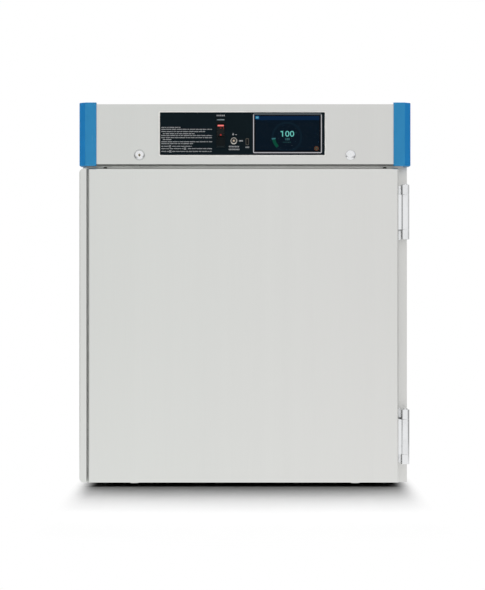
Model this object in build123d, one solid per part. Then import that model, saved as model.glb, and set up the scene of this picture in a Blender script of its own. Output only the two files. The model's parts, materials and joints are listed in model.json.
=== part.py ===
"""Forced-air warming cabinet: an insulated chamber with one door and a control housing on top.

Millimetres. X runs to the right, Y to the back and Z up. The origin is under the middle of the
cabinet, on the surface that its feet stand on.
"""

import math
import os

from build123d import *

os.makedirs("parts", exist_ok=True)

# Overall sizes
body_width = 762.0
overall_depth = 673.0
foot_height = 6.0
body_height = 743.6
header_height = 139.4
sheet = 1.5
liner_sheet = 1.2
touch_gap = 0.3
turning_gap = 0.05

# Corner bumpers
bumper_proud = 4.0
bumper_front_leg = 40.0
bumper_side_leg = 52.0
bumper_bevel = 14.0
bumper_lip = 9.0
header_corner_radius = 25.0

# Door
door_setback = 4.5
door_depth = 50.0
door_sheet = 1.2
door_right_margin = 24.2
door_left_margin = 16.8
door_bottom_rise = 4.0
door_top_gap = 9.3
door_edge_round = 3.0
gasket_gap = 12.0
gasket_width = 22.0
gasket_base = 3.0
gasket_bulb_width = 14.0
gasket_inset = 6.0
gasket_corner = 10.0
gasket_round = 3.0
plug_panel_rise = 8.0
plug_panel_inset = 16.0
plug_panel_bevel = 5.0
plug_panel_corner = 10.0
edge_plug_inset = 55.0
edge_plug_depth = 22.0
edge_plug_size = 8.0
edge_plug_height = 4.0
edge_plug_bevel = 1.0
edge_plug_stem = 2.5
edge_plug_stem_length = 6.0

# Door pull
pull_sheet = 2.5
pull_groove = 4.2
pull_width = 16.6
pull_depth = 34.0
pull_curl = 18.0
pull_corner = 11.0

# Hinges
hinge_length = 127.0
hinge_end_margin = 37.8
hinge_low_rise = 4.7
knuckle_height = 22.5
knuckle_width = 18.5
knuckle_round = 4.5
hinge_leaf = 3.0
hinge_leaf_inset = 3.0
hinge_overhang = 1.5
hinge_axis_depth = 12.0
hinge_pin_radius = 4.0
hinge_pin_head = 2.0
hinge_bush_wall = 1.5
hinge_door_leaf_depth = 38.0
hinge_end_play = 0.5
hinge_arm_width = 12.0
hinge_screw_spread = 24.0
hinge_screw_depth = 21.0

# Chamber
chamber_side_wall = 63.0
chamber_floor_rise = 62.0
chamber_top_wall = 67.6
chamber_corner = 12.0
rear_bay = 87.5
frame_return = 20.0
plenum_depth = 42.0
insulation_thickness = 44.0
liner_flange = 12.0

# Shelves
shelf_levels = (0.27, 0.6)
shelf_front_gap = 8.0
shelf_side_gap = 3.5
shelf_rod = 4.0
shelf_cross_rod = 3.2
shelf_weld = 0.8
shelf_wire_overhang = 3.0
shelf_wire = 1.75
shelf_wire_pitch = 25.0
bar_sides = 8
shelf_corner = 18.0
standard_width = 18.0
standard_thickness = 3.0
standard_margin = 24.0
standard_slot_height = 12.0
standard_slot_width = 5.0
standard_pitch = 50.0
standard_from_front = 70.0
standard_from_baffle = 85.0
clip_width = 12.0
clip_reach = 11.0
clip_height = 16.0
clip_sheet = 3.0
clip_rod_gap = 0.2

# Air baffle
baffle_side_gap = 8.0
intake_rows = 9
intake_pitch = 15.0
intake_slot = 8.0
intake_radius = 72.0
outlet_rows = 8
outlet_slot = 9.0
outlet_length = 48.0
outlet_inset = 24.0

# Fan, heater and motor
fan_radius = 72.0
fan_width = 24.0
fan_back_gap = 8.0
fan_blades = 18
fan_blade_depth = 21.0
fan_blade_turn = 30.0
fan_sheet = 1.5
fan_hub_radius = 12.0
fan_hub_length = 16.0
shaft_radius = 4.0
shaft_in_hub = 14.0
shaft_hole = 12.0
heater_radius = 98.0
heater_tube = 4.0
heater_bend = 12.0
heater_gap_angle = 15.0
heater_tail = 14.0
motor_flange = 104.0
motor_flange_sheet = 3.0
motor_flange_corner = 10.0
motor_radius = 40.0
motor_length = 58.0
motor_cap_step = 5.0
motor_cap_length = 14.0
motor_bevel = 4.0
motor_window_gap = 4.0

# Probe and cut-out
probe_inset = 90.0
probe_drop = 110.0
probe_block = 18.0
probe_block_depth = 12.0
probe_length = 66.0
probe_radius = 2.5
cut_out_place = (150.0, 120.0)
cut_out_ears = (34.0, 14.0, 6.0)
cut_out_sheet = 1.5
cut_out_radius = 9.0
cut_out_depth = 11.5

# Feet and base
foot_radius = 11.0
foot_disc = 3.0
foot_neck = 6.0
foot_stud = 4.0
foot_stud_length = 22.0
foot_hole_gap = 1.0
foot_side_inset = 119.0
foot_end_inset = 50.0
foot_nut_size = 26.0
foot_nut_height = 6.0
base_rim = 24.0

# Skins
side_flange = 16.0
rear_screw_rows = 4
rear_screw_margin = 40.0
vent_width = 110.0
vent_height = 6.0
vent_pitch = 16.0
vent_rows = 7
vent_offset = 150.0
screw_head = 4.0
screw_head_height = 2.0
screw_shank = 2.0
screw_length = 6.0
screw_hole = screw_shank + 0.2

# Header sheets
header_return_depth = 64.0
header_flange = 12.0
header_screws = 4
header_screw_inset = 81.0
header_screw_drop = 21.4
header_vent_rows = 5
header_vent_width = 120.0

# Controls, from the middle of the header's lower front edge
overlay_sheet = 0.8
overlay_width = 381.0
overlay_height = 97.4
overlay_corner = 2.0
overlay_centre = (-6.2, 70.9)
seat = 1.0
screen_size = (159.6, 94.0)
screen_picture = (150.4, 84.2)
screen_from_overlay = 5.9
screen_rise = 72.3
screen_proud = 1.2
screen_window_inset = 3.0
screen_sleeve = 9.0
glass_depth = 2.0
glass_setback = 0.4
display_board = 3.0
display_cover = (70.0, 44.0, 10.0)
display_cover_offset = -10.0
power_size = (20.0, 66.6)
power_from_screen = 75.3
power_rise = 72.1
rocker_size = (15.0, 30.0)
rocker_rise = 7.3
rocker_tilt = 8.0
rocker_axis_depth = 3.0
rocker_room = 1.5
rocker_pocket = 15.0
trunnion_radius = 1.5
trunnion_length = 1.0
switch_proud = 2.0
switch_depth = 26.0
switch_case_inset = 1.3
switch_terminals = (6.0, 9.0, 0.8)
switch_terminal_pitch = 20.0
key_from_screen = 44.8
key_rise = 54.4
key_radius = 8.1
key_barrel = 6.9
key_plug_radius = 5.2
key_groove = (2.4, 4.1, 5.0)
key_proud = 2.6
key_depth = 22.0
key_floor = 3.0
usb_from_screen = 13.5
usb_rise = 52.2
usb_size = (8.0, 16.0)
usb_mouth = (4.6, 12.0)
usb_tongue = (1.8, 10.0)
usb_proud = 0.8
usb_depth = 18.0
usb_mouth_depth = 14.0
lock_from_overlay = 48.3
lock_rise = 21.4
lock_radius = 12.8
lock_proud = 3.4
lock_barrel = 9.5
lock_length = 23.0
lock_nut_radius = 14.0
lock_nut_height = 4.0
lock_plug_radius = 6.0
lock_neck = 4.0
lock_screw_radius = 5.5
lock_screw_height = 2.5
lock_keyway = (1.8, 8.0, 12.0)
hole_cap_radius = 12.0
hole_cap_bevel = (3.2, 1.2)
hole_cap_proud = 2.6
hole_cap_stem = 6.4
hole_cap_sheet = 1.4
lock_reach = 41.0
lock_cam_width = 14.0
lock_cam_sheet = 2.0
cam_slot_front = 19.5
cam_slot_depth = 12.0
cam_slot_gap = 2.5
lock_pocket = 14.0

# What the header holds: sizes and places in x, y and z
board_size = (190.0, 120.0, 1.6)
board_inset = (151.0, 118.5)
board_post = 10.0
board_post_radius = 4.0
board_post_inset = 8.0
processor = (30.0, 30.0, 32.0, 32.0, 3.4)
small_relay = (90.0, 70.0, 20.0, 16.0, 16.4)
small_relays = 3
small_relay_pitch = 28.0
board_plugs = (20.0, 102.0, 100.0, 12.0, 10.4)
capacitor = (140.0, 30.0, 9.0, 24.4)
supply_size = (160.0, 98.0, 38.0)
supply_place = (40.0, 128.5)
supply_slots = 9
supply_slot_pitch = 14.0
supply_slot = (6.0, 58.0, 2.0)
sink_size = (80.0, 70.0, 6.0)
sink_place = (60.0, 274.5)
sink_fins = 8
sink_fin = (3.0, 18.0)
relay_size = (46.0, 58.0, 22.0)
terminal_place = (-60.0, 224.5)
terminal_depth = 24.0
terminal_base = 12.0
terminal_poles = 8
terminal_pitch = 12.0
terminal_plate = (8.0, 16.0, 2.0)
terminal_wall = (2.0, 8.0)
inlet_from_side = 131.0
inlet_rise = 44.0
inlet_size = (48.0, 28.0)
inlet_body = (32.0, 22.0)
inlet_corner = 4.0
inlet_mouth = (24.0, 16.5)
inlet_depth = 26.0
inlet_mouth_depth = 18.0
inlet_pin = (2.0, 4.0, 11.0)
inlet_pin_places = ((-7.0, -1.0), (0.0, 3.0), (7.0, -1.0))

# Planes and edges that follow from the sizes above
front_y = -overall_depth / 2
header_front_y = front_y + bumper_proud
header_return_y = header_front_y + header_return_depth
overlay_front_y = header_front_y - overlay_sheet
door_front_y = header_front_y + door_setback
door_back_y = door_front_y + door_depth
frame_y = door_back_y + gasket_gap
liner_front_y = frame_y + frame_return
rear_y = overall_depth / 2 - screw_head_height
liner_back_y = rear_y - rear_bay
baffle_y = liner_back_y - plenum_depth
fan_back_y = liner_back_y - fan_back_gap
fan_front_y = fan_back_y - fan_width
side_x = body_width / 2
base_z = foot_height
header_z = base_z + body_height
header_top_z = header_z + header_height
deck_z = header_z + sheet
door_left_x = -side_x + door_left_margin
door_right_x = side_x - door_right_margin
door_bottom_z = base_z + door_bottom_rise
door_top_z = header_z - door_top_gap
chamber_x = side_x - chamber_side_wall
chamber_floor_z = base_z + chamber_floor_rise
chamber_top_z = header_z - chamber_top_wall
chamber_mid_z = (chamber_floor_z + chamber_top_z) / 2
hinge_x = side_x + hinge_overhang - knuckle_width / 2
hinge_y = door_front_y + hinge_axis_depth
hinge_door_screw_y = hinge_y + hinge_screw_depth
rocker_axis_y = overlay_front_y + rocker_axis_depth
hinge_bottoms = (
    door_bottom_z + hinge_end_margin + hinge_low_rise,
    door_top_z - hinge_end_margin - hinge_length,
)
rear_screw_x = side_x - sheet - side_flange / 2
header_screw_z = header_top_z - header_screw_drop
edge_plug_x = side_x - edge_plug_inset
edge_plug_y = door_front_y + edge_plug_depth
heater_gap = math.radians(heater_gap_angle)
heater_leg_x = heater_radius * math.sin(heater_gap) - heater_bend * math.cos(heater_gap)
heater_leg_z = chamber_mid_z - heater_radius * math.cos(heater_gap) - heater_bend * math.sin(heater_gap)

# Middles of the controls, from the middle of the header's lower front edge
screen_right = overlay_centre[0] + overlay_width / 2 - screen_from_overlay
screen_left = screen_right - screen_size[0]
screen_centre = ((screen_left + screen_right) / 2, screen_rise)
power_centre = (screen_left - power_from_screen, power_rise)
key_centre = (screen_left - key_from_screen, key_rise)
usb_centre = (screen_left - usb_from_screen, usb_rise)
lock_centre = (overlay_centre[0] - overlay_width / 2 - lock_from_overlay, lock_rise)
hole_plug_centre = (-lock_centre[0], lock_rise)
inlet_centre = (side_x - inlet_from_side, inlet_rise)
cam_y = header_front_y + lock_length + touch_gap


def block(x0, x1, y0, y1, z0, z1):
    """A box between two corners."""
    return Pos((x0 + x1) / 2, (y0 + y1) / 2, (z0 + z1) / 2) * Box(x1 - x0, y1 - y0, z1 - z0)


def rod_x(y, z, x0, x1, radius):
    """A round bar along X."""
    return Pos((x0 + x1) / 2, y, z) * Rot(0, 90, 0) * Cylinder(radius, x1 - x0)


def rod_y(x, z, y0, y1, radius):
    """A round bar along Y."""
    return Pos(x, (y0 + y1) / 2, z) * Rot(90, 0, 0) * Cylinder(radius, y1 - y0)


def rod_z(x, y, z0, z1, radius):
    """A round bar along Z."""
    return Pos(x, y, (z0 + z1) / 2) * Cylinder(radius, z1 - z0)


def outline(points):
    """A face inside straight lines."""
    return make_face(Polyline(*points, close=True))


def rectangle(x0, x1, z0, z1, radius=0.0):
    """A rectangle between two corners, rounded if a radius is given."""
    centre = Pos((x0 + x1) / 2, (z0 + z1) / 2)
    if radius > 0:
        return centre * RectangleRounded(x1 - x0, z1 - z0, radius)
    return centre * Rectangle(x1 - x0, z1 - z0)


def upright(sketch, y0, y1):
    """Extrude an outline drawn in x and z from y0 to y1."""
    return Pos(0, y1, 0) * Rot(90, 0, 0) * extrude(sketch, y1 - y0)


def level(sketch, z0, z1):
    """Extrude an outline drawn in x and y from z0 to z1."""
    return Pos(0, 0, z0) * extrude(sketch, z1 - z0)


def sideways(sketch, x0, x1):
    """Extrude an outline drawn in y and z from x0 to x1."""
    return extrude(Plane.YZ.offset(x0) * sketch, x1 - x0)


def turned(points):
    """Revolve an outline of radius and height about Z."""
    return revolve(make_face(Plane.XZ * Polyline(*points, close=True)), Axis.Z)


def turned_y(x, z, y, points):
    """Revolve an outline of radius and depth about a line along Y; depth runs to the back."""
    return Pos(x, y, z) * Rot(-90, 0, 0) * turned(points)


def bar(path, radius):
    """A thin bar with a few flat sides along a path."""
    return sweep(Plane(origin=path @ 0, z_dir=path % 0) * RegularPolygon(radius, bar_sides), path=path)


def centred(centre, size, grow=0.0):
    """The rectangle of one control on the header's front, in x and z."""
    half_x = size[0] / 2 + grow
    half_z = size[1] / 2 + grow
    x, z = on_header(centre)
    return rectangle(x - half_x, x + half_x, z - half_z, z + half_z)


def on_header(centre):
    """A place on the header's front, given from the middle of its lower edge."""
    return centre[0], header_z + centre[1]


def write(name, *solids):
    """Save one node."""
    shape = solids[0] if len(solids) == 1 else Compound(children=list(solids))
    export_step(shape, f"parts/{name}.step")


def screw(x, y, z, direction, shank_length):
    """A flat-headed screw: (x, y, z) is where its head sits, direction the way the head faces."""
    shape = rod_z(0, 0, 0, screw_head_height, screw_head)
    shape += rod_z(0, 0, -shank_length, 0, screw_shank)
    turns = {"+x": (0, 90, 0), "-y": (90, 0, 0), "+y": (-90, 0, 0)}
    return Pos(x, y, z) * Rot(*turns[direction]) * shape


# Cabinet body


def rear_screw_places():
    """The screws down both edges of the rear panel."""
    low = base_z + rear_screw_margin
    high = header_z - rear_screw_margin
    step = (high - low) / (rear_screw_rows - 1)
    return [(side * rear_screw_x, low + row * step) for side in (-1, 1) for row in range(rear_screw_rows)]


def side_panel(side):
    """A side skin with flanges turned in behind the front frame and the rear panel."""
    x_out = side_x
    x_in = side_x - sheet
    panel = block(x_in, x_out, frame_y + sheet, rear_y - sheet, base_z, header_z)
    panel += block(x_in - side_flange, x_in, frame_y + sheet, frame_y + 2 * sheet, base_z, header_z)
    panel += block(x_in - side_flange, x_in, rear_y - 2 * sheet, rear_y - sheet, base_z, header_z)
    if side < 0:
        panel = mirror(panel, Plane.YZ)
    for x, z in rear_screw_places():
        if x * side > 0:
            panel -= rod_y(x, z, rear_y - 3 * sheet, rear_y, screw_hole)
    return panel


def vents(x, z, rows, width):
    """A ladder of round-ended ventilation slots, as one outline."""
    slots = Sketch()
    for row in range(rows):
        height = z + (row - (rows - 1) / 2) * vent_pitch
        slots += Pos(x, height) * SlotOverall(width, vent_height)
    return slots


def rear_panel():
    """The flat rear skin, with two ladders of slots beside the motor."""
    sketch = rectangle(-side_x, side_x, base_z, header_z)
    for x in (-vent_offset, vent_offset):
        sketch -= vents(x, chamber_mid_z, vent_rows, vent_width)
    for x, z in rear_screw_places():
        sketch -= Pos(x, z) * Circle(screw_hole)
    return upright(sketch, rear_y - sheet, rear_y)


def foot_places():
    """The four feet, by name."""
    x = side_x - foot_side_inset
    front = frame_y + foot_end_inset
    back = rear_y - foot_end_inset
    return {
        "foot_front_left": (-x, front),
        "foot_front_right": (x, front),
        "foot_rear_left": (-x, back),
        "foot_rear_right": (x, back),
    }


def base_pan():
    """The floor tray between the side panels, with its rim turned up."""
    x = side_x - sheet
    y0 = frame_y + 2 * sheet
    y1 = rear_y - 2 * sheet
    pan = block(-x, x, y0, y1, base_z, base_z + base_rim)
    pan -= block(-x + sheet, x - sheet, y0 + sheet, y1 - sheet, base_z + sheet, base_z + base_rim)
    for x, y in foot_places().values():
        pan -= rod_z(x, y, base_z, base_z + sheet, foot_stud + foot_hole_gap)
    return pan


def foot_nut(x, y):
    """A square weld nut over one foot's hole."""
    half = foot_nut_size / 2
    z0 = base_z + sheet
    nut = block(x - half, x + half, y - half, y + half, z0, z0 + foot_nut_height)
    return nut - rod_z(x, y, z0, z0 + foot_nut_height, foot_stud + turning_gap)


def foot(x, y):
    """A levelling foot: a domed disc, a neck to hold with a spanner, and a stud."""
    round_off = 1.0
    neck_top = foot_height - touch_gap
    shape = turned([
        (0, 0),
        (foot_radius - round_off, 0),
        (foot_radius, round_off),
        (foot_radius, foot_disc - round_off),
        (foot_neck, foot_disc + round_off / 2),
        (foot_neck, neck_top),
        (foot_stud, neck_top),
        (foot_stud, neck_top + foot_stud_length),
        (0, neck_top + foot_stud_length),
    ])
    return Pos(x, y, 0) * shape


def chamber_outline(grow):
    """The chamber's section with its round corners, grown on all sides."""
    x = chamber_x + grow
    return rectangle(-x, x, chamber_floor_z - grow, chamber_top_z + grow, chamber_corner + grow)


def front_frame():
    """The face round the chamber's mouth, with a return that leads into the liner."""
    mouth = chamber_outline(0)
    grown = chamber_outline(sheet)
    face = rectangle(-side_x, side_x, base_z, header_z)
    frame = upright(face - mouth, frame_y, frame_y + sheet)
    return frame + upright(grown - mouth, frame_y, liner_front_y)


# Chamber


def chamber_liner():
    """The warm chamber's walls: four rounded corners, a mouth flange and a back with its holes."""
    t = liner_sheet
    inside = chamber_outline(0)
    outside = chamber_outline(t)
    flange = chamber_outline(liner_flange)
    back = outside - Pos(0, chamber_mid_z) * Circle(shaft_hole)
    for x in (-heater_leg_x, heater_leg_x):
        back -= Pos(x, heater_leg_z) * Circle(heater_tube + touch_gap)
    liner = upright(outside - inside, liner_front_y, liner_back_y)
    liner += upright(flange - inside, liner_front_y, liner_front_y + t)
    return liner + upright(back, liner_back_y, liner_back_y + t)


def insulation_edge():
    """The outline of the insulation's outside, clear of the skins and of the feet's studs."""
    side = side_x - 2 * sheet
    low = base_z + base_rim + touch_gap
    return rectangle(-side, side, low, header_z - touch_gap)


def insulation_wrap():
    """The blanket round the liner's four walls."""
    hole = chamber_outline(liner_sheet + touch_gap)
    return upright(insulation_edge() - hole, liner_front_y + liner_sheet + touch_gap, liner_back_y)


def insulation_rear():
    """The slab behind the liner, with a window for the motor and the heater's ends."""
    half = motor_flange / 2 + motor_window_gap
    low = heater_leg_z - heater_tube - 2 * motor_window_gap
    window = rectangle(-half, half, low, chamber_mid_z + half)
    y0 = liner_back_y + liner_sheet + touch_gap
    return upright(insulation_edge() - window, y0, y0 + insulation_thickness)


def standard_places():
    """Each shelf standard's wall side and middle in y."""
    front = frame_y + standard_from_front
    back = baffle_y - standard_from_baffle
    return [(side, y) for side in (-1, 1) for y in (front, back)]


def standard_slots():
    """The heights of the standards' slots."""
    low = chamber_floor_z + standard_margin
    high = chamber_top_z - standard_margin
    count = int((high - low) / standard_pitch)
    return [low + standard_pitch * (step + 0.5) for step in range(count)]


def shelf_slot(share):
    """The height of the slot that is nearest to a share of the chamber's height."""
    wanted = chamber_floor_z + share * (chamber_top_z - chamber_floor_z)
    return min(standard_slots(), key=lambda z: abs(z - wanted))


def shelf_standard(side, y):
    """A slotted upright strip on the liner's side wall."""
    half = standard_width / 2
    x0 = chamber_x - standard_thickness
    strip = block(
        x0, chamber_x, y - half, y + half, chamber_floor_z + standard_margin, chamber_top_z - standard_margin
    )
    for z in standard_slots():
        strip -= block(
            x0,
            chamber_x,
            y - standard_slot_width / 2,
            y + standard_slot_width / 2,
            z - standard_slot_height / 2,
            z + standard_slot_height / 2,
        )
    return mirror(strip, Plane.YZ) if side < 0 else strip


def shelf_clip(side, y, slot_z):
    """A bent clip: its tongue fills a slot and its seat carries the shelf's edge rod."""
    wall = chamber_x - standard_thickness
    low = slot_z - clip_height / 2
    profile = outline([
        (wall, low + clip_height),
        (wall - clip_sheet, low + clip_height),
        (wall - clip_sheet, low + clip_sheet),
        (wall - clip_reach, low + clip_sheet),
        (wall - clip_reach, low),
        (wall, low),
    ])
    clip = upright(profile, y - clip_width / 2, y + clip_width / 2)
    clip += block(
        wall,
        chamber_x - touch_gap,
        y - standard_slot_width / 2 + touch_gap,
        y + standard_slot_width / 2 - touch_gap,
        slot_z - standard_slot_height / 2 + touch_gap,
        slot_z + standard_slot_height / 2 - touch_gap,
    )
    return mirror(clip, Plane.YZ) if side < 0 else clip


def shelf_rod_z(slot_z):
    """The height of a shelf's edge rod over the clips at one slot."""
    return slot_z - clip_height / 2 + clip_sheet + shelf_rod + clip_rod_gap


def wire_shelf(slot_z):
    """A welded wire shelf: an edge rod, two cross rods and the wires that the load rests on."""
    x = chamber_x - standard_thickness - shelf_side_gap - shelf_rod
    y0 = frame_y + frame_return + shelf_front_gap
    y1 = baffle_y - shelf_front_gap
    z = shelf_rod_z(slot_z)
    path = Pos(0, 0, z) * rectangle(-x, x, y0, y1, shelf_corner).face().outer_wire()
    shelf = bar(path, shelf_rod)
    cross_z = z + shelf_weld
    for share in (1 / 3, 2 / 3):
        y = y0 + (y1 - y0) * share
        shelf += bar(Line((-x, y, cross_z), (x, y, cross_z)), shelf_cross_rod)
    count = int(2 * (x - shelf_corner) / shelf_wire_pitch)
    wire_z = z + shelf_rod + shelf_wire - shelf_weld
    for step in range(count + 1):
        wire_x = (step - count / 2) * shelf_wire_pitch
        front = (wire_x, y0 - shelf_wire_overhang, wire_z)
        back = (wire_x, y1 + shelf_wire_overhang, wire_z)
        shelf += bar(Line(front, back), shelf_wire)
    return shelf


def air_baffle():
    """The pan in front of the fan: an intake grille in its middle and outlet slots at its sides."""
    x = chamber_x - baffle_side_gap
    z0 = chamber_floor_z + baffle_side_gap
    z1 = chamber_top_z - baffle_side_gap
    pan = block(-x, x, baffle_y, liner_back_y, z0, z1)
    t = liner_sheet
    pan -= block(-x + t, x - t, baffle_y + t, liner_back_y, z0 + t, z1 - t)
    slots = Sketch()
    for row in range(intake_rows):
        rise = (row - (intake_rows - 1) / 2) * intake_pitch
        length = 2 * math.sqrt(intake_radius**2 - rise**2)
        slots += Pos(0, chamber_mid_z + rise) * SlotOverall(length, intake_slot)
    outlet_pitch = (z1 - z0 - 2 * outlet_length) / (outlet_rows - 1)
    for row in range(outlet_rows):
        for side in (-1, 1):
            place = Pos(side * (x - outlet_inset), z0 + outlet_length + row * outlet_pitch)
            slots += place * Rot(0, 0, 90) * SlotOverall(outlet_length, outlet_slot)
    return pan - upright(slots, baffle_y, baffle_y + t)


def fan_impeller():
    """A centrifugal fan wheel: hub, back plate, a ring of blades and a front ring."""
    eye = fan_radius - fan_blade_depth + 3.0
    hub_front = fan_back_y - fan_hub_length
    wheel = rod_y(0, chamber_mid_z, fan_back_y - fan_sheet, fan_back_y, fan_radius)
    wheel += rod_y(0, chamber_mid_z, hub_front, fan_back_y, fan_hub_radius)
    blade = block(0, fan_blade_depth, fan_front_y, fan_back_y, -fan_sheet / 2, fan_sheet / 2)
    blade = Pos(fan_radius - fan_blade_depth - 1.0, 0, 0) * Rot(0, fan_blade_turn, 0) * blade
    for step in range(fan_blades):
        wheel += Pos(0, 0, chamber_mid_z) * Rot(0, step * 360 / fan_blades, 0) * blade
    ring = rod_y(0, chamber_mid_z, fan_front_y, fan_front_y + fan_sheet, fan_radius)
    wheel += ring - rod_y(0, chamber_mid_z, fan_front_y, fan_front_y + fan_sheet, eye)
    return wheel - rod_y(0, chamber_mid_z, hub_front, fan_back_y, shaft_radius + turning_gap)


def blower_motor():
    """The fan's motor on the outside of the liner's back, with its shaft through into the fan."""
    y0 = liner_back_y + liner_sheet
    y1 = y0 + motor_flange_sheet
    half = motor_flange / 2
    plate = rectangle(-half, half, chamber_mid_z - half, chamber_mid_z + half, motor_flange_corner)
    motor = upright(plate, y0, y1)
    cap = motor_radius - motor_cap_step
    motor += turned_y(0, chamber_mid_z, y1, [
        (0, 0),
        (motor_radius, 0),
        (motor_radius, motor_length - motor_cap_length - motor_cap_step / 2),
        (cap, motor_length - motor_cap_length),
        (cap, motor_length - motor_bevel),
        (cap - motor_bevel, motor_length),
        (0, motor_length),
    ])
    return motor + rod_y(0, chamber_mid_z, fan_back_y - shaft_in_hub, y0, shaft_radius)


def heater_ring():
    """A tubular element bent once round the fan, with both ends out through the liner's back."""
    ring_y = (fan_front_y + fan_back_y) / 2
    low = chamber_mid_z - heater_radius * math.cos(heater_gap)
    start = Vector(-heater_radius * math.sin(heater_gap), ring_y, low)
    end = Vector(-start.X, start.Y, start.Z)
    top = Vector(0, ring_y, chamber_mid_z + heater_radius)
    back = Vector(0, 1, 0)
    pieces = [ThreePointArc(start, top, end)]
    for corner, side in ((start, 1), (end, -1)):
        along = Vector(side * math.cos(heater_gap), 0, -math.sin(heater_gap))
        middle = corner + back * heater_bend + (along - back) * (heater_bend * math.sqrt(0.5))
        out = corner + (along + back) * heater_bend
        pieces.append(ThreePointArc(corner, middle, out))
        pieces.append(Line(out, Vector(out.X, liner_back_y + liner_sheet + heater_tail, out.Z)))
    return bar(Wire(pieces), heater_tube)


def air_probe():
    """The chamber's temperature probe: a thin rod in a block on the baffle."""
    x = chamber_x - probe_inset
    z = chamber_top_z - probe_drop
    half = probe_block / 2
    probe = block(x - half, x + half, baffle_y - probe_block_depth, baffle_y, z - half, z + half)
    return probe + rod_z(x, baffle_y - probe_block_depth / 2, z - half - probe_length, z - half, probe_radius)


def limit_thermostat():
    """The over-temperature cut-out: a disc and its ear plate on the liner's back wall."""
    x = cut_out_place[0]
    z = chamber_mid_z + cut_out_place[1]
    width, height, corner = cut_out_ears
    ears = rectangle(x - width / 2, x + width / 2, z - height / 2, z + height / 2, corner)
    y1 = liner_back_y - cut_out_sheet
    return upright(ears, y1, liner_back_y) + rod_y(x, z, y1 - cut_out_depth, y1, cut_out_radius)


# Header


def header_plan(inset, back_y):
    """The header's plan outline with round front corners, drawn in by an inset."""
    x = side_x - inset
    y0 = header_front_y + inset
    radius = header_corner_radius - inset
    plan = outline([(-x, y0), (x, y0), (x, back_y), (-x, back_y)])
    corners = [vertex for vertex in plan.vertices() if vertex.Y < y0 + 1]
    return fillet(corners, radius)


def header_front():
    """The folded fascia: a face, two round corners and lips at its top and bottom."""
    front = level(header_plan(0, header_return_y), header_z, header_top_z)
    front -= level(header_plan(sheet, header_return_y), header_z + sheet, header_top_z - sheet)
    front -= level(header_plan(header_flange, header_return_y), header_z, header_top_z)
    cuts = control_cuts()
    for centre in (lock_centre, hole_plug_centre):
        cuts += Pos(*on_header(centre)) * Circle(lock_barrel + touch_gap)
    return front - upright(cuts, header_front_y, header_front_y + sheet)


def control_cuts():
    """The openings for the screen, the power switch, the port and the key switch."""
    cuts = centred(screen_centre, screen_size, -screen_window_inset)
    cuts += centred(power_centre, power_size, -seat) + centred(usb_centre, usb_size, -seat)
    return cuts + Pos(*on_header(key_centre)) * Circle(key_barrel + touch_gap)


def header_tongue(z0, z1):
    """The part of the header's plates that reaches forward between the fascia's lips."""
    return level(header_plan(header_flange, header_return_y), z0, z1)


def cam_slot(drop, thickness):
    """The slot that the lock's cam swings through, in a plate a given drop below the lock."""
    x, z = on_header(lock_centre)
    corner = math.hypot(lock_reach, lock_cam_width / 2)
    reach = math.sqrt(corner**2 - drop**2)
    y0 = header_front_y + cam_slot_front
    x0 = x - lock_cam_width / 2 - cam_slot_gap
    return block(x0, x + reach + cam_slot_gap, y0, y0 + cam_slot_depth, z - drop - thickness, z - drop)


def header_base():
    """The plate that the controls stand on, and that shows above the door."""
    x = side_x - sheet
    base = block(-x, x, header_return_y, rear_y - sheet, header_z, header_z + sheet)
    base += header_tongue(header_z, header_z + sheet)
    return base - cam_slot(lock_centre[1] - sheet, sheet)


def header_screw_places():
    """The row of screws across the header's back."""
    reach = side_x - header_screw_inset
    step = 2 * reach / (header_screws - 1)
    return [(-reach + place * step, header_screw_z) for place in range(header_screws)]


def header_cover():
    """The header's top, sides and back in one folded sheet."""
    cover = block(-side_x, side_x, header_return_y, rear_y, header_z, header_top_z)
    x = side_x - sheet
    cover -= block(-x, x, header_return_y, rear_y - sheet, header_z, header_top_z - sheet)
    cover += header_tongue(header_top_z - sheet, header_top_z)
    cuts = vents(-vent_offset, header_z + header_height / 2, header_vent_rows, header_vent_width)
    cuts += centred(inlet_centre, inlet_body)
    for screw_x, screw_z in header_screw_places():
        cuts += Pos(screw_x, screw_z) * Circle(screw_hole)
    return cover - upright(cuts, rear_y - sheet, rear_y)


def corner_bumper(side):
    """A thick moulded corner with a bevelled outer edge and lips over the header's top and bottom."""
    x_out = side_x + bumper_proud
    x_in = x_out - bumper_front_leg
    y_back = front_y + bumper_side_leg
    plan = outline([
        (x_in, front_y),
        (x_out - bumper_bevel, front_y),
        (x_out, front_y + bumper_bevel),
        (x_out, y_back),
        (x_in, y_back),
    ])
    z0 = header_z - bumper_proud
    z1 = header_top_z + bumper_proud
    bumper = level(plan, z0, z1)
    rim = bumper.edges().group_by(Axis.Z)[-1] + bumper.edges().group_by(Axis.Z)[0]
    outer = [edge for edge in rim if edge.center().X > x_in + 1 and edge.center().Y < y_back - 1]
    bumper = fillet(outer, bumper_proud * 0.6)
    bumper -= level(header_plan(0, rear_y), header_z, header_top_z)
    bumper -= level(header_plan(bumper_lip, rear_y), z0, z1)
    return mirror(bumper, Plane.YZ) if side < 0 else bumper


# Controls


def control_overlay():
    """The black label plate round the controls."""
    x, z = on_header(overlay_centre)
    half_x = overlay_width / 2
    half_z = overlay_height / 2
    plate = rectangle(x - half_x, x + half_x, z - half_z, z + half_z, overlay_corner)
    return upright(plate - control_cuts(), overlay_front_y, header_front_y)


def screen_bezel():
    """The display's frame: a thin rim on the overlay and a sleeve through the fascia."""
    window = centred(screen_centre, screen_picture)
    rim = upright(centred(screen_centre, screen_size) - window, overlay_front_y - screen_proud, overlay_front_y)
    sleeve = centred(screen_centre, screen_size, -screen_window_inset - touch_gap) - window
    return rim + upright(sleeve, overlay_front_y, overlay_front_y + screen_sleeve)


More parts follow.
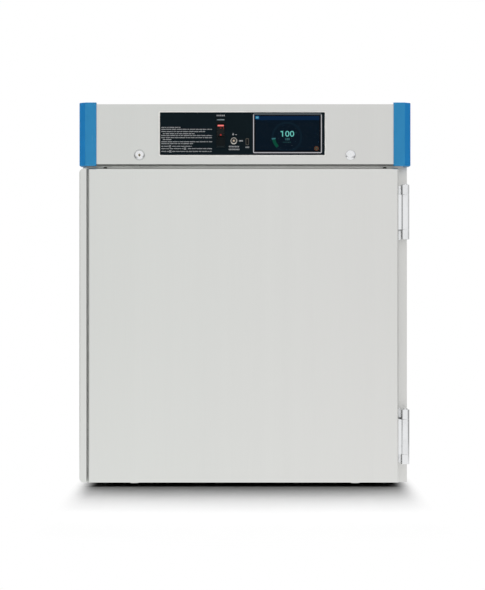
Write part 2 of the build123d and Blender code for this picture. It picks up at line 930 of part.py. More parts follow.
def screen_glass():
    """The touch glass, set a little back in its frame."""
    y0 = overlay_front_y - screen_proud + glass_setback
    return upright(centred(screen_centre, screen_picture), y0, y0 + glass_depth)


def display_module():
    """The display behind the glass: its panel in the sleeve, its board and the cover on the board."""
    y0 = overlay_front_y - screen_proud + glass_setback + glass_depth
    y1 = overlay_front_y + screen_sleeve
    y2 = y1 + display_board
    width, height, depth = display_cover
    module = upright(centred(screen_centre, screen_picture, -touch_gap), y0, y1)
    module += upright(centred(screen_centre, screen_size, -seat), y1, y2)
    middle = (screen_centre[0] + display_cover_offset, screen_centre[1])
    return module + upright(centred(middle, (width, height)), y2, y2 + depth)


def rocker_place():
    """The rocker's middle in x and z: it sits above the middle of its bezel."""
    x, z = on_header(power_centre)
    return x, z + rocker_rise


def power_switch_body():
    """The switch's bezel and case, with a deep pocket for the rocker and a shallow one below it."""
    x, z = rocker_place()
    y0 = overlay_front_y - switch_proud
    y1 = overlay_front_y + switch_depth
    body = upright(centred(power_centre, power_size), y0, overlay_front_y)
    body += upright(centred(power_centre, power_size, -switch_case_inset), overlay_front_y, y1)
    half_x = rocker_size[0] / 2 + touch_gap
    half_z = rocker_size[1] / 2 + rocker_room
    body -= block(x - half_x, x + half_x, y0, rocker_axis_y + rocker_pocket, z - half_z, z + half_z)
    wall = switch_proud
    low = header_z + power_centre[1] - power_size[1] / 2 + wall + seat
    body -= block(x - half_x, x + half_x, y0, overlay_front_y + seat, low, z - half_z - wall)
    reach = rocker_size[0] / 2 + trunnion_length + turning_gap
    body -= rod_x(rocker_axis_y, z, x - reach, x + reach, trunnion_radius + turning_gap)
    width, length, blade = switch_terminals
    middle = header_z + power_centre[1]
    for step in (-1, 0, 1):
        z0 = middle + step * switch_terminal_pitch - blade / 2
        body += block(x - width / 2, x + width / 2, y1, y1 + length, z0, z0 + blade)
    return body


def power_rocker():
    """The rocker: two faces that meet in a shallow ridge, on two trunnions."""
    x, z = rocker_place()
    half = rocker_size[1] / 2
    profile = outline([
        (-3.0, half),
        (-5.0, 0),
        (-3.0, -half),
        (1.0, -half + 1.0),
        (8.0, -3.0),
        (8.0, 3.0),
        (1.0, half - 1.0),
    ])
    rocker = sideways(profile, -rocker_size[0] / 2, rocker_size[0] / 2)
    reach = rocker_size[0] / 2 + trunnion_length
    rocker += rod_x(0, 0, -reach, reach, trunnion_radius)
    return Pos(x, rocker_axis_y, z) * Rot(-rocker_tilt, 0, 0) * rocker


def key_switch_body():
    """The key switch's collar and barrel, bored for its plug."""
    x, z = on_header(key_centre)
    collar = key_radius - key_barrel
    bore = key_plug_radius + turning_gap
    return turned_y(x, z, overlay_front_y - key_proud, [
        (bore, 0),
        (key_barrel, 0),
        (key_radius, collar),
        (key_radius, key_proud),
        (key_barrel, key_proud),
        (key_barrel, key_proud + key_depth),
        (0, key_proud + key_depth),
        (0, key_proud + key_depth - key_floor),
        (bore, key_proud + key_depth - key_floor),
    ])


def key_switch_plug():
    """The turning plug of a round-key switch: a ring groove round a centre post, and a notch."""
    x, z = on_header(key_centre)
    y0 = overlay_front_y - key_proud + 0.5
    post, ring, depth = key_groove
    plug = rod_y(x, z, y0, overlay_front_y + key_depth - key_floor - touch_gap, key_plug_radius)
    groove = rod_y(x, z, y0, y0 + depth, ring) - rod_y(x, z, y0, y0 + depth, post)
    notch = block(x - 0.8, x + 0.8, y0, y0 + 1.5, z + post + 1.0, z + key_plug_radius + 1.0)
    return plug - groove - notch


def usb_port():
    """A service port: an upright shell with its tongue inside."""
    x, z = on_header(usb_centre)
    y0 = overlay_front_y - usb_proud
    y1 = overlay_front_y + usb_mouth_depth
    port = upright(centred(usb_centre, usb_size), y0, overlay_front_y)
    port += upright(centred(usb_centre, usb_size, -seat - 0.2), overlay_front_y, overlay_front_y + usb_depth)
    port -= upright(centred(usb_centre, usb_mouth), y0, y1)
    return port + upright(centred(usb_centre, usb_tongue), overlay_front_y + usb_proud, y1)


def door_lock_body():
    """The lock's conical collar and threaded barrel, bored right through for its plug."""
    x, z = on_header(lock_centre)
    bore = lock_plug_radius + turning_gap
    return turned_y(x, z, header_front_y - lock_proud, [
        (bore, 0),
        (lock_barrel, 0),
        (lock_radius, lock_proud),
        (lock_barrel, lock_proud),
        (lock_barrel, lock_proud + lock_length),
        (bore, lock_proud + lock_length),
    ])


def door_lock_nut():
    """The hexagon nut that pulls the lock against the fascia from inside."""
    x, z = on_header(lock_centre)
    hexagon = RegularPolygon(lock_nut_radius, 6) - Circle(lock_barrel)
    return upright(Pos(x, z) * hexagon, header_front_y + sheet, header_front_y + sheet + lock_nut_height)


def door_lock_plug():
    """The turning plug: a key slot in front, a neck through the cam and a screw head behind."""
    x, z = on_header(lock_centre)
    y0 = header_front_y - lock_proud + 0.4
    y1 = cam_y + lock_cam_sheet
    width, height, depth = lock_keyway
    plug = rod_y(x, z, y0, cam_y, lock_plug_radius)
    plug += rod_y(x, z, cam_y, y1, lock_neck)
    plug += rod_y(x, z, y1, y1 + lock_screw_height, lock_screw_radius)
    return plug - block(x - width / 2, x + width / 2, y0, y0 + depth, z - height / 2, z + height / 2)


def door_lock_cam():
    """The flat cam on the plug's end: it points sideways when the door is free to open."""
    x, z = on_header(lock_centre)
    half = lock_cam_width / 2
    shape = rectangle(x, x + lock_reach, z - half, z + half)
    shape += Pos(x, z) * Circle(half)
    shape = shape - Pos(x, z) * Circle(lock_neck)
    return upright(shape, cam_y, cam_y + lock_cam_sheet)


def hole_plug():
    """The cap in the lock hole that the other hand of door would use."""
    x, z = on_header(hole_plug_centre)
    width, depth = hole_cap_bevel
    inside = lock_barrel - hole_cap_sheet
    return turned_y(x, z, header_front_y - hole_cap_proud, [
        (0, 0),
        (hole_cap_radius - width, 0),
        (hole_cap_radius, depth),
        (hole_cap_radius, hole_cap_proud),
        (lock_barrel, hole_cap_proud),
        (lock_barrel, hole_cap_proud + hole_cap_stem),
        (inside, hole_cap_proud + hole_cap_stem),
        (inside, hole_cap_proud + hole_cap_sheet),
        (0, hole_cap_proud + hole_cap_sheet),
    ])


# What the header holds


def on_board(x0, y0, z0, part):
    """A box on a board: the part's place from the board's corner, then its three sizes."""
    x, y, width, depth, height = part
    return block(x0 + x, x0 + x + width, y0 + y, y0 + y + depth, z0, z0 + height)


def control_board():
    """The controller's board on four posts, with its larger parts."""
    width, depth, thickness = board_size
    x0 = -side_x + board_inset[0]
    y0 = header_return_y + board_inset[1]
    z0 = deck_z + board_post
    z1 = z0 + thickness
    board = block(x0, x0 + width, y0, y0 + depth, z0, z1)
    for x in (x0 + board_post_inset, x0 + width - board_post_inset):
        for y in (y0 + board_post_inset, y0 + depth - board_post_inset):
            board += rod_z(x, y, deck_z, z0, board_post_radius)
    board += on_board(x0, y0, z1, processor) + on_board(x0, y0, z1, board_plugs)
    for step in range(small_relays):
        board += on_board(x0 + step * small_relay_pitch, y0, z1, small_relay)
    x, y, radius, height = capacitor
    return board + rod_z(x0 + x, y0 + y, z1, z1 + height, radius)


def power_supply():
    """The low-voltage supply in its slotted cage."""
    width, depth, height = supply_size
    slot_width, slot_length, slot_depth = supply_slot
    x0 = supply_place[0]
    y0 = header_return_y + supply_place[1]
    z1 = deck_z + height
    cage = block(x0, x0 + width, y0, y0 + depth, deck_z, z1)
    first = (width - (supply_slots - 1) * supply_slot_pitch - slot_width) / 2
    inset = (depth - slot_length) / 2
    for step in range(supply_slots):
        x = x0 + first + step * supply_slot_pitch
        cage -= block(x, x + slot_width, y0 + inset, y0 + depth - inset, z1 - slot_depth, z1)
    return cage


def heater_relay():
    """The heater's relay on its finned heat sink."""
    width, depth, base = sink_size
    fin, fin_height = sink_fin
    x0 = sink_place[0]
    y0 = rear_y - sink_place[1]
    z1 = deck_z + base
    sink = block(x0, x0 + width, y0, y0 + depth, deck_z, z1)
    pitch = (width - fin) / (sink_fins - 1)
    for step in range(sink_fins):
        x = x0 + step * pitch
        sink += block(x, x + fin, y0, y0 + depth, z1, z1 + fin_height)
    relay_width, relay_depth, relay_height = relay_size
    x = (width - relay_width) / 2
    y = (depth - relay_depth) / 2
    relay = (x, y, relay_width, relay_depth, relay_height)
    return sink + on_board(x0, y0, z1 + fin_height, relay)


def terminal_block():
    """The row of terminals for the mains, the heater and the fan."""
    x0 = terminal_place[0]
    y0 = rear_y - terminal_place[1]
    length = terminal_poles * terminal_pitch
    z1 = deck_z + terminal_base
    row = block(x0, x0 + length, y0, y0 + terminal_depth, deck_z, z1)
    width, depth, height = terminal_plate
    inset = (terminal_depth - depth) / 2
    for pole in range(terminal_poles):
        plate = ((pole + 0.5) * terminal_pitch - width / 2, inset, width, depth, height)
        row += on_board(x0, y0, z1, plate)
    wall, wall_height = terminal_wall
    for step in range(terminal_poles + 1):
        x = min(max(step * terminal_pitch - wall / 2, 0), length - wall)
        row += on_board(x0, y0, z1, (x, 0, wall, terminal_depth, wall_height))
    return row


def power_inlet():
    """The mains socket in the header's back, with its three pins."""
    x, z = on_header(inlet_centre)
    half_x = inlet_size[0] / 2
    half_z = inlet_size[1] / 2
    flange = rectangle(x - half_x, x + half_x, z - half_z, z + half_z, inlet_corner)
    y1 = rear_y + screw_head_height
    y0 = y1 - inlet_mouth_depth
    socket = upright(flange, rear_y, y1)
    socket += upright(centred(inlet_centre, inlet_body, -touch_gap), y1 - inlet_depth, rear_y)
    socket -= upright(centred(inlet_centre, inlet_mouth), y0, y1)
    width, height, length = inlet_pin
    for offset, rise in inlet_pin_places:
        middle = (inlet_centre[0] + offset, inlet_centre[1] + rise)
        socket += upright(centred(middle, (width, height)), y0, y0 + length)
    return socket


# Door


def door_outer_pan():
    """The door's front skin and its four turned edges, with a strike slot in the top one."""
    pan = block(door_left_x, door_right_x, door_front_y, door_back_y - door_sheet, door_bottom_z, door_top_z)
    front_rim = pan.edges().group_by(Axis.Y)[0]
    pan = fillet(front_rim, door_edge_round)
    pan -= block(
        door_left_x + door_sheet,
        door_right_x - door_sheet,
        door_front_y + door_sheet,
        door_back_y - door_sheet,
        door_bottom_z + door_sheet,
        door_top_z - door_sheet,
    )
    pan -= cam_slot(header_z + lock_centre[1] - door_top_z, door_sheet)
    for x, z0 in edge_plug_places():
        pan -= rod_z(x, edge_plug_y, z0 - 2 * door_sheet, z0 + 2 * door_sheet, edge_plug_stem + turning_gap)
    return pan


def edge_plug_places():
    """The small caps' places: x, and the height of the door edge that each sits on."""
    return [(x, z) for x in (-edge_plug_x, edge_plug_x) for z in (door_bottom_z, door_top_z)]


def door_edge_plug(x, edge_z):
    """A square black cap on the door's top or bottom edge, with its stem through the sheet."""
    half = edge_plug_size / 2
    cap = block(x - half, x + half, edge_plug_y - half, edge_plug_y + half, 0, edge_plug_height)
    cap = chamfer(cap.edges().group_by(Axis.Z)[-1], edge_plug_bevel)
    cap += rod_z(x, edge_plug_y, -edge_plug_stem_length, 0, edge_plug_stem)
    if edge_z < chamber_mid_z:
        cap = mirror(cap, Plane.XY)
    return Pos(0, 0, edge_z) * cap


def door_inner_pan():
    """The door's inner skin, raised inside the gasket."""
    pan = block(door_left_x, door_right_x, door_back_y - door_sheet, door_back_y, door_bottom_z, door_top_z)
    x = chamber_x - plug_panel_inset
    z0 = chamber_floor_z + plug_panel_inset
    z1 = chamber_top_z - plug_panel_inset
    y0 = door_back_y - door_sheet
    y1 = door_back_y + plug_panel_rise
    t = door_sheet
    rise = upright(rectangle(-x, x, z0, z1, plug_panel_corner), y0, y1)
    rise = chamfer(rise.faces().sort_by(Axis.Y)[-1].edges(), plug_panel_bevel)
    hollow = upright(rectangle(-x + t, x - t, z0 + t, z1 - t, plug_panel_corner - t), y0, y1 - t)
    hollow = chamfer(hollow.faces().sort_by(Axis.Y)[-1].edges(), plug_panel_bevel)
    return pan + rise - hollow


def door_insulation():
    """The slab inside the door, with a pocket under the strike slot and holes for the caps' stems."""
    gap = door_sheet + touch_gap
    slab = block(
        door_left_x + gap,
        door_right_x - gap,
        door_front_y + gap,
        door_back_y - gap,
        door_bottom_z + gap,
        door_top_z - gap,
    )
    slab -= cam_slot(header_z + lock_centre[1] - door_top_z, lock_pocket)
    for x, edge_z in edge_plug_places():
        reach = edge_plug_stem_length + 1.0
        slab -= rod_z(x, edge_plug_y, edge_z - reach, edge_z + reach, edge_plug_stem + touch_gap)
    return slab


def door_gasket():
    """The seal: a base strip on the door and a bulb that meets the front frame."""
    spare = (gasket_width - gasket_bulb_width) / 2

    def ring(inner, width, y0, y1):
        x = chamber_x + inner + width
        z0 = chamber_floor_z - inner - width
        z1 = chamber_top_z + inner + width
        hole = rectangle(-x + width, x - width, z0 + width, z1 - width, gasket_inset)
        return upright(rectangle(-x, x, z0, z1, gasket_corner) - hole, y0, y1)

    seal_y = frame_y - touch_gap
    gasket = ring(gasket_inset, gasket_width, door_back_y, door_back_y + gasket_base)
    gasket += ring(gasket_inset + spare, gasket_bulb_width, door_back_y + gasket_base, seal_y)
    rim = [edge for edge in gasket.edges() if edge.center().Y > seal_y - 0.01]
    return fillet(rim, gasket_round)


def door_pull():
    """The full-height pull: a hooked strip beside the door, with a dark groove between them."""
    t = pull_sheet
    x_face = door_left_x - pull_groove
    x_out = x_face - pull_width
    y0 = door_front_y
    y_web = y0 + pull_depth
    plan = outline([
        (door_left_x, door_back_y),
        (door_left_x - t, door_back_y),
        (door_left_x - t, y_web + t),
        (x_face - t, y_web + t),
        (x_face - t, y0 + t),
        (x_out + t, y0 + t),
        (x_out + t, y0 + pull_curl),
        (x_out, y0 + pull_curl),
        (x_out, y0),
        (x_face, y0),
        (x_face, y_web),
        (door_left_x, y_web),
    ])
    front_corner = [v for v in plan.vertices() if abs(v.X - x_out) < 0.1 and abs(v.Y - y0) < 0.1]
    plan = fillet(front_corner, t * 0.9)
    pull = level(plan, door_bottom_z, door_top_z)
    trim = rectangle(x_out, door_left_x + t, door_bottom_z, door_top_z)
    outer_corners = [v for v in trim.vertices() if v.X < x_out + 0.1]
    trim = fillet(outer_corners, pull_corner)
    return pull & upright(trim, y0 - t, door_back_y + t)


# Hinges


def knuckle(low, high):
    """A square bar with round corners about the hinge's axis."""
    half = knuckle_width / 2
    plan = Pos(hinge_x, hinge_y) * RectangleRounded(2 * half, 2 * half, knuckle_round)
    return level(plan, low, high)


def hinge_frame_leaf(z0):
    """The leaf on the front frame, with the top and bottom knuckles that hold the pin."""
    half = knuckle_width / 2
    x0 = hinge_x - half - hinge_leaf_inset
    leaf = block(x0, side_x, frame_y - hinge_leaf, frame_y, z0, z0 + hinge_length)
    for low in (z0, z0 + hinge_length - knuckle_height):
        high = low + knuckle_height
        leaf += block(hinge_x - half, hinge_x + half, hinge_y, frame_y - hinge_leaf, low, high)
        leaf += knuckle(low, high)
        leaf -= rod_z(hinge_x, hinge_y, low, high, hinge_pin_radius)
    for z in hinge_screw_heights(z0):
        leaf -= rod_y(hinge_x, z, frame_y - hinge_leaf, frame_y, screw_hole)
    return leaf


def hinge_screw_heights(z0):
    """Each leaf has two screws between its knuckles."""
    middle = z0 + hinge_length / 2
    return middle - hinge_screw_spread, middle + hinge_screw_spread


def hinge_pin(z0):
    """The pin, with a low head on its top knuckle."""
    z1 = z0 + hinge_length
    pin = rod_z(hinge_x, hinge_y, z0, z1, hinge_pin_radius)
    return pin + rod_z(hinge_x, hinge_y, z1, z1 + hinge_pin_head, hinge_pin_radius + hinge_pin_head)


def barrel_span(z0):
    """The barrel's bottom and top between the knuckles."""
    return z0 + knuckle_height + hinge_end_play, z0 + hinge_length - knuckle_height - hinge_end_play


def hinge_barrel(z0):
    """The door's leaf: a plate on its edge, an arm and the barrel round the bushed pin."""
    low, high = barrel_span(z0)
    barrel = knuckle(low, high)
    arm_half = hinge_arm_width / 2
    barrel += block(door_right_x, hinge_x, hinge_y - arm_half, hinge_y + arm_half, low, high)
    plate_y = hinge_y - arm_half
    barrel += block(
        door_right_x, door_right_x + hinge_leaf, plate_y, plate_y + hinge_door_leaf_depth, low, high
    )
    bush = hinge_pin_radius + turning_gap + hinge_bush_wall
    barrel -= rod_z(hinge_x, hinge_y, low, high, bush)
    for z in hinge_screw_heights(z0):
        barrel -= rod_x(hinge_door_screw_y, z, door_right_x, door_right_x + hinge_leaf, screw_hole)
    return barrel


def hinge_bush(z0):
    """The plain bush pressed into the barrel."""
    low, high = barrel_span(z0)
    bush = rod_z(hinge_x, hinge_y, low, high, hinge_pin_radius + turning_gap + hinge_bush_wall)
    return bush - rod_z(hinge_x, hinge_y, low, high, hinge_pin_radius + turning_gap)


def hinge_screws_frame():
    """The four screws through the frame leaves."""
    y = frame_y - hinge_leaf
    return [
        screw(hinge_x, y, z, "-y", hinge_leaf + sheet) for z0 in hinge_bottoms for z in hinge_screw_heights(z0)
    ]


def hinge_screws_door():
    """The four screws through the door leaves."""
    x = door_right_x + hinge_leaf
    return [
        screw(x, hinge_door_screw_y, z, "+x", hinge_leaf + door_sheet)
        for z0 in hinge_bottoms
        for z in hinge_screw_heights(z0)
    ]


def cover_screws():
    """The screws in the rear panel and in the header's back."""
    places = rear_screw_places() + header_screw_places()
    return [screw(x, rear_y, z, "+y", screw_length) for x, z in places]


def with_screw_holes(shape, axis):
    """Holes for the hinges' screws in the sheet that each leaf is fixed to."""
    for z0 in hinge_bottoms:
        for z in hinge_screw_heights(z0):
            if axis == "frame":
                shape -= rod_y(hinge_x, z, frame_y, frame_y + 3 * sheet, screw_hole)
            else:
                depth = 2 * door_sheet + touch_gap
                shape -= rod_x(hinge_door_screw_y, z, door_right_x - depth, door_right_x, screw_hole)
    return shape


# Nodes

write("side_panel_left", side_panel(-1))
write("side_panel_right", with_screw_holes(side_panel(1), "frame"))
write("rear_panel", rear_panel())
write("base_pan", base_pan())
write("front_frame", with_screw_holes(front_frame(), "frame"))
write("foot_nuts", *[foot_nut(x, y) for x, y in foot_places().values()])
for name, (x, y) in foot_places().items():
    write(name, foot(x, y))

write("chamber_liner", chamber_liner())
write("insulation_wrap", insulation_wrap())
write("insulation_rear", insulation_rear())
write("shelf_standards", *[shelf_standard(side, y) for side, y in standard_places()])
shelf_slots = [shelf_slot(share) for share in shelf_levels]
write("shelf_clips", *[shelf_clip(side, y, z) for z in shelf_slots for side, y in standard_places()])
write("shelf_lower", wire_shelf(shelf_slots[0]))
write("shelf_upper", wire_shelf(shelf_slots[1]))
write("air_baffle", air_baffle())
write("fan_impeller", fan_impeller())
write("blower_motor", blower_motor())
write("heater_ring", heater_ring())
write("air_probe", air_probe())
write("limit_thermostat", limit_thermostat())

write("header_front", header_front())
write("header_base", header_base())
write("header_cover", header_cover())
write("corner_bumper_left", corner_bumper(-1))
write("corner_bumper_right", corner_bumper(1))
write("control_overlay", control_overlay())
write("screen_bezel", screen_bezel())
write("screen_glass", screen_glass())
write("display_module", display_module())
write("power_switch_body", power_switch_body())
write("power_rocker", power_rocker())
write("key_switch_body", key_switch_body())
write("key_switch_plug", key_switch_plug())
write("usb_port", usb_port())
write("door_lock_body", door_lock_body())
write("door_lock_nut", door_lock_nut())
write("door_lock_plug", door_lock_plug())
write("door_lock_cam", door_lock_cam())
write("hole_plug", hole_plug())
write("control_board", control_board())
write("power_supply", power_supply())
write("heater_relay", heater_relay())
write("terminal_block", terminal_block())
write("power_inlet", power_inlet())

write("door_outer_pan", with_screw_holes(door_outer_pan(), "door"))
write("door_inner_pan", door_inner_pan())
write("door_insulation", with_screw_holes(door_insulation(), "door"))
write("door_gasket", door_gasket())
write("door_pull", door_pull())
write("door_edge_plugs", *[door_edge_plug(x, z) for x, z in edge_plug_places()])

write("hinge_frame_leaves", *[hinge_frame_leaf(z) for z in hinge_bottoms])
write("hinge_pins", *[hinge_pin(z) for z in hinge_bottoms])
write("hinge_barrels", *[hinge_barrel(z) for z in hinge_bottoms])
write("hinge_bushes", *[hinge_bush(z) for z in hinge_bottoms])
write("hinge_screws_frame", *hinge_screws_frame())
write("hinge_screws_door", *hinge_screws_door())
write("cover_screws", *cover_screws())
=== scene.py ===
"""Looks of a forced-air warming cabinet: finishes, prints, fasteners, seal, wool and studio."""

import json
import math
import random

import bmesh
import bpy
from mathutils import Matrix, Vector, noise


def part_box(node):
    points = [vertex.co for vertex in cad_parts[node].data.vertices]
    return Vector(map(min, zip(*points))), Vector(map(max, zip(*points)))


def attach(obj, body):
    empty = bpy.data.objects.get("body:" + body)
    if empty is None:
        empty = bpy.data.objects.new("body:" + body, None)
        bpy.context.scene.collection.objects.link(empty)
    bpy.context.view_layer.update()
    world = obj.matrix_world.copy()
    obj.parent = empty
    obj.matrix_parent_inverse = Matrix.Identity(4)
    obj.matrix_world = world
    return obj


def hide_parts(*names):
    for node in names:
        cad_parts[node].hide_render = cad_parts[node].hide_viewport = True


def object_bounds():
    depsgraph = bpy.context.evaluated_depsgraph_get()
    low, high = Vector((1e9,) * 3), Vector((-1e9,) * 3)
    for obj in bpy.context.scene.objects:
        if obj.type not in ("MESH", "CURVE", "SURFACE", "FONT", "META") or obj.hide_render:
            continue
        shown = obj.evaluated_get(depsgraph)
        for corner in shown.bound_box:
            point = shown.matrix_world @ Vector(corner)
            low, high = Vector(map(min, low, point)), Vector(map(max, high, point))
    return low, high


bl_info = {
    "name": "Warming cabinet looks",
    "version": (1, 0, 0),
    "blender": (4, 5, 0),
    "location": "3D View > Sidebar > Warming cabinet",
    "description": "Finishes, prints, fasteners, door seal and studio for a warming cabinet",
    "category": "Object",
}

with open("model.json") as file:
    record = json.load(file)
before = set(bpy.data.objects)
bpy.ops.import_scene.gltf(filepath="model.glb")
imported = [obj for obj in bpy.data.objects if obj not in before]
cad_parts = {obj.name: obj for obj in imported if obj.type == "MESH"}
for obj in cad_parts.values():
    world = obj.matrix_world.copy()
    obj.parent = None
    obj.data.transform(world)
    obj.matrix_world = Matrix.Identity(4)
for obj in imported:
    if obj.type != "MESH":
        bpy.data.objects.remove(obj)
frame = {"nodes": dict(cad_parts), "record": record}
cad_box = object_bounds()
CAD = frame["nodes"]
MM = 0.001
SEED = 7


def put(name, data):
    """A new object in the scene."""
    obj = bpy.data.objects.new(name, data)
    bpy.context.scene.collection.objects.link(obj)
    return obj


def as_mesh(name, shape):
    """A bmesh that is done, as a mesh."""
    mesh = bpy.data.meshes.new(name)
    shape.to_mesh(mesh)
    shape.free()
    return mesh


def evaluated(obj):
    """A mesh of what an object's curve, text or modifiers make."""
    graph = bpy.context.evaluated_depsgraph_get()
    return bpy.data.meshes.new_from_object(obj.evaluated_get(graph), depsgraph=graph)


class Value:
    """A shader socket that Python's operators can calculate with."""

    def __init__(self, tree, socket):
        self.tree = tree
        self.socket = socket

    def math(self, operation, first, second=None):
        """One Math node on one or two values."""
        inputs = {0: first} if second is None else {0: first, 1: second}
        return self.tree.add("ShaderNodeMath", {"operation": operation}, inputs)

    def __add__(self, other):
        return self.math("ADD", self, other)

    def __radd__(self, other):
        return self.math("ADD", other, self)

    def __sub__(self, other):
        return self.math("SUBTRACT", self, other)

    def __rsub__(self, other):
        return self.math("SUBTRACT", other, self)

    def __mul__(self, other):
        return self.math("MULTIPLY", self, other)

    def __rmul__(self, other):
        return self.math("MULTIPLY", other, self)

    def __truediv__(self, other):
        return self.math("DIVIDE", self, other)

    def __abs__(self):
        return self.math("ABSOLUTE", self)

    def larger(self, other):
        """The larger of two values."""
        return self.math("MAXIMUM", self, other)

    def rise(self, low, high):
        """A smooth step from 0 at low to 1 at high."""
        inputs = {"Value": self, "From Min": low, "From Max": high}
        return self.tree.add("ShaderNodeMapRange", {"interpolation_type": "SMOOTHSTEP"}, inputs)


class Tree:
    """A shader tree that is being written."""

    def __init__(self, owner):
        owner.use_nodes = True
        self.owner = owner
        self.nodes = owner.node_tree.nodes
        self.links = owner.node_tree.links

    def add(self, kind, settings=None, inputs=None, output=0):
        """Add a node: its settings, then the values or links of its sockets."""
        node = self.nodes.new(kind)
        for name, setting in (settings or {}).items():
            if name == "stops":
                self.write_stops(node.color_ramp, setting)
            else:
                setattr(node, name, setting)
        self.connect(node, inputs or {})
        return Value(self, node.outputs[output]) if len(node.outputs) else None

    def connect(self, node, inputs):
        """Set sockets to values or link them; a list goes into one socket, a colour is three numbers."""
        for name, value in inputs.items():
            if isinstance(value, Value):
                self.links.new(value.socket, node.inputs[name])
            elif isinstance(value, list):
                for one in value:
                    self.links.new(one.socket, node.inputs[name])
            else:
                socket = node.inputs[name]
                socket.default_value = (*value, 1.0) if socket.type == "RGBA" else value

    @staticmethod
    def write_stops(ramp, stops):
        """Give a colour ramp its stops, a list of place and colour."""
        while len(ramp.elements) < len(stops):
            ramp.elements.new(1.0)
        for element, (place, color) in zip(ramp.elements, stops):
            element.position = place
            element.color = (*color, 1.0)

    def place(self, per_metre):
        """The object's own coordinates in metres, multiplied by one number or by one for each axis."""
        scale = per_metre if isinstance(per_metre, tuple) else (per_metre,) * 3
        coordinates = self.add("ShaderNodeTexCoord", output="Object")
        return self.add("ShaderNodeMapping", inputs={"Vector": coordinates, "Scale": scale})

    def axis(self, name):
        """One of the object's own coordinates, in metres."""
        coordinates = self.add("ShaderNodeTexCoord", output="Object")
        return self.add("ShaderNodeSeparateXYZ", inputs={0: coordinates}, output=name)

    def noise(self, per_metre, detail=2.0, roughness=0.5):
        """Soft noise from 0 to 1, with its number of waves in a metre."""
        inputs = {"Vector": self.place(per_metre), "Scale": 1.0, "Detail": detail, "Roughness": roughness}
        return self.add("ShaderNodeTexNoise", inputs=inputs)

    def mix(self, factor, first, second):
        """A blend of two colours."""
        return self.add("ShaderNodeMix", {"data_type": "RGBA"}, {0: factor, 6: first, 7: second}, 2)

    def shade(self, color, amount):
        """A colour made lighter or darker by a factor."""
        return self.add("ShaderNodeVectorMath", {"operation": "SCALE"}, {0: color, "Scale": amount})


class Finish(Tree):
    """A material that is being written, with its one shader."""

    def __init__(self, name, **sockets):
        super().__init__(bpy.data.materials.new(name))
        self.shader = self.nodes["Principled BSDF"]
        self.set(**sockets)

    def set(self, **sockets):
        """Set or link the shader's sockets; base_color stands for Base Color, and so on."""
        names = {"specular": "Specular IOR Level"}
        named = {names.get(key, key.replace("_", " ").title()): value for key, value in sockets.items()}
        self.connect(self.shader, named)

    def done(self, color, roughness, height=None, depth=0.0, strength=1.0):
        """The material with its surface set, and raised by a height from 0 to 1 times a depth in metres."""
        self.set(base_color=color, roughness=roughness)
        if height is not None:
            inputs = {"Height": height, "Distance": depth, "Strength": strength}
            self.set(normal=self.add("ShaderNodeBump", inputs=inputs))
        return self.owner


class Shape(Tree):
    """A Geometry Nodes tree that is being written, with a named input for each of its sizes."""

    KINDS = {float: "NodeSocketFloat", tuple: "NodeSocketVector"}

    def __init__(self, name, **sizes):
        self.group = bpy.data.node_groups.new(name, "GeometryNodeTree")
        self.nodes = self.group.nodes
        self.links = self.group.links
        interface = self.group.interface
        interface.new_socket("Geometry", in_out="OUTPUT", socket_type="NodeSocketGeometry")
        interface.new_socket("Points", in_out="INPUT", socket_type="NodeSocketGeometry")
        self.keys = {}
        for label, size in sizes.items():
            socket = interface.new_socket(label, in_out="INPUT", socket_type=self.KINDS[type(size)])
            socket.default_value = size
            self.keys[label] = socket.identifier
        self.entry = self.nodes.new("NodeGroupInput")

    def size(self, label):
        """One of the tree's named inputs."""
        return Value(self, self.entry.outputs[label])

    def vector(self, x=0.0, y=0.0, z=0.0):
        """Three values as a vector."""
        return self.add("ShaderNodeCombineXYZ", inputs={0: x, 1: y, 2: z})

    def moved(self, shape, offset):
        """A shape at another place."""
        return self.add("GeometryNodeTransform", inputs={"Geometry": shape, "Translation": offset})

    def rounded(self, width, height, radius, steps):
        """A rectangle's line with round corners."""
        inputs = {"Width": width, "Height": height}
        line = self.add("GeometryNodeCurvePrimitiveQuadrilateral", inputs=inputs)
        inputs = {"Curve": line, "Count": steps, "Radius": radius, "Limit Radius": True}
        return self.add("GeometryNodeFilletCurve", {"mode": "POLY"}, inputs)

    def joined(self, shapes):
        """Several shapes as one."""
        return self.add("GeometryNodeJoinGeometry", inputs={0: shapes})

    def on_points(self, shape, scale=(1.0, 1.0, 1.0)):
        """A copy of a shape on every point, turned by the input named facing."""
        inputs = {
            "Points": self.size("Points"),
            "Instance": shape,
            "Rotation": self.size("facing"),
            "Scale": scale,
        }
        return self.add("GeometryNodeInstanceOnPoints", inputs=inputs)

    def close(self, shape, material):
        """End the tree with real, dressed geometry."""
        real = self.add("GeometryNodeRealizeInstances", inputs={0: shape})
        dressed = self.add("GeometryNodeSetMaterial", inputs={"Geometry": real, "Material": material})
        out = self.nodes.new("NodeGroupOutput")
        self.links.new(dressed.socket, out.inputs[0])
        return self

    def grow(self, name, points, **sizes):
        """Run the tree on points and keep the result as a plain mesh."""
        mesh = bpy.data.meshes.new(name)
        mesh.from_pydata([place[:3] for place in points], [], [])
        if points and len(points[0]) > 3:
            stretch = mesh.attributes.new("stretch", "FLOAT", "POINT")
            for item, place in zip(stretch.data, points):
                item.value = place[3]
        obj = put(name, mesh)
        modifier = obj.modifiers.new("shape", "NODES")
        modifier.node_group = self.group
        for label, size in sizes.items():
            modifier[self.keys[label]] = size
        plain = evaluated(obj)
        obj.modifiers.remove(modifier)
        obj.data = plain
        return obj


# Flat drawings in millimetres, and plain meshes


CORNER_STEPS = 6
ARC_STEP = 8
# A figure's height as a share of its font's size
CAP_HEIGHT = 0.7


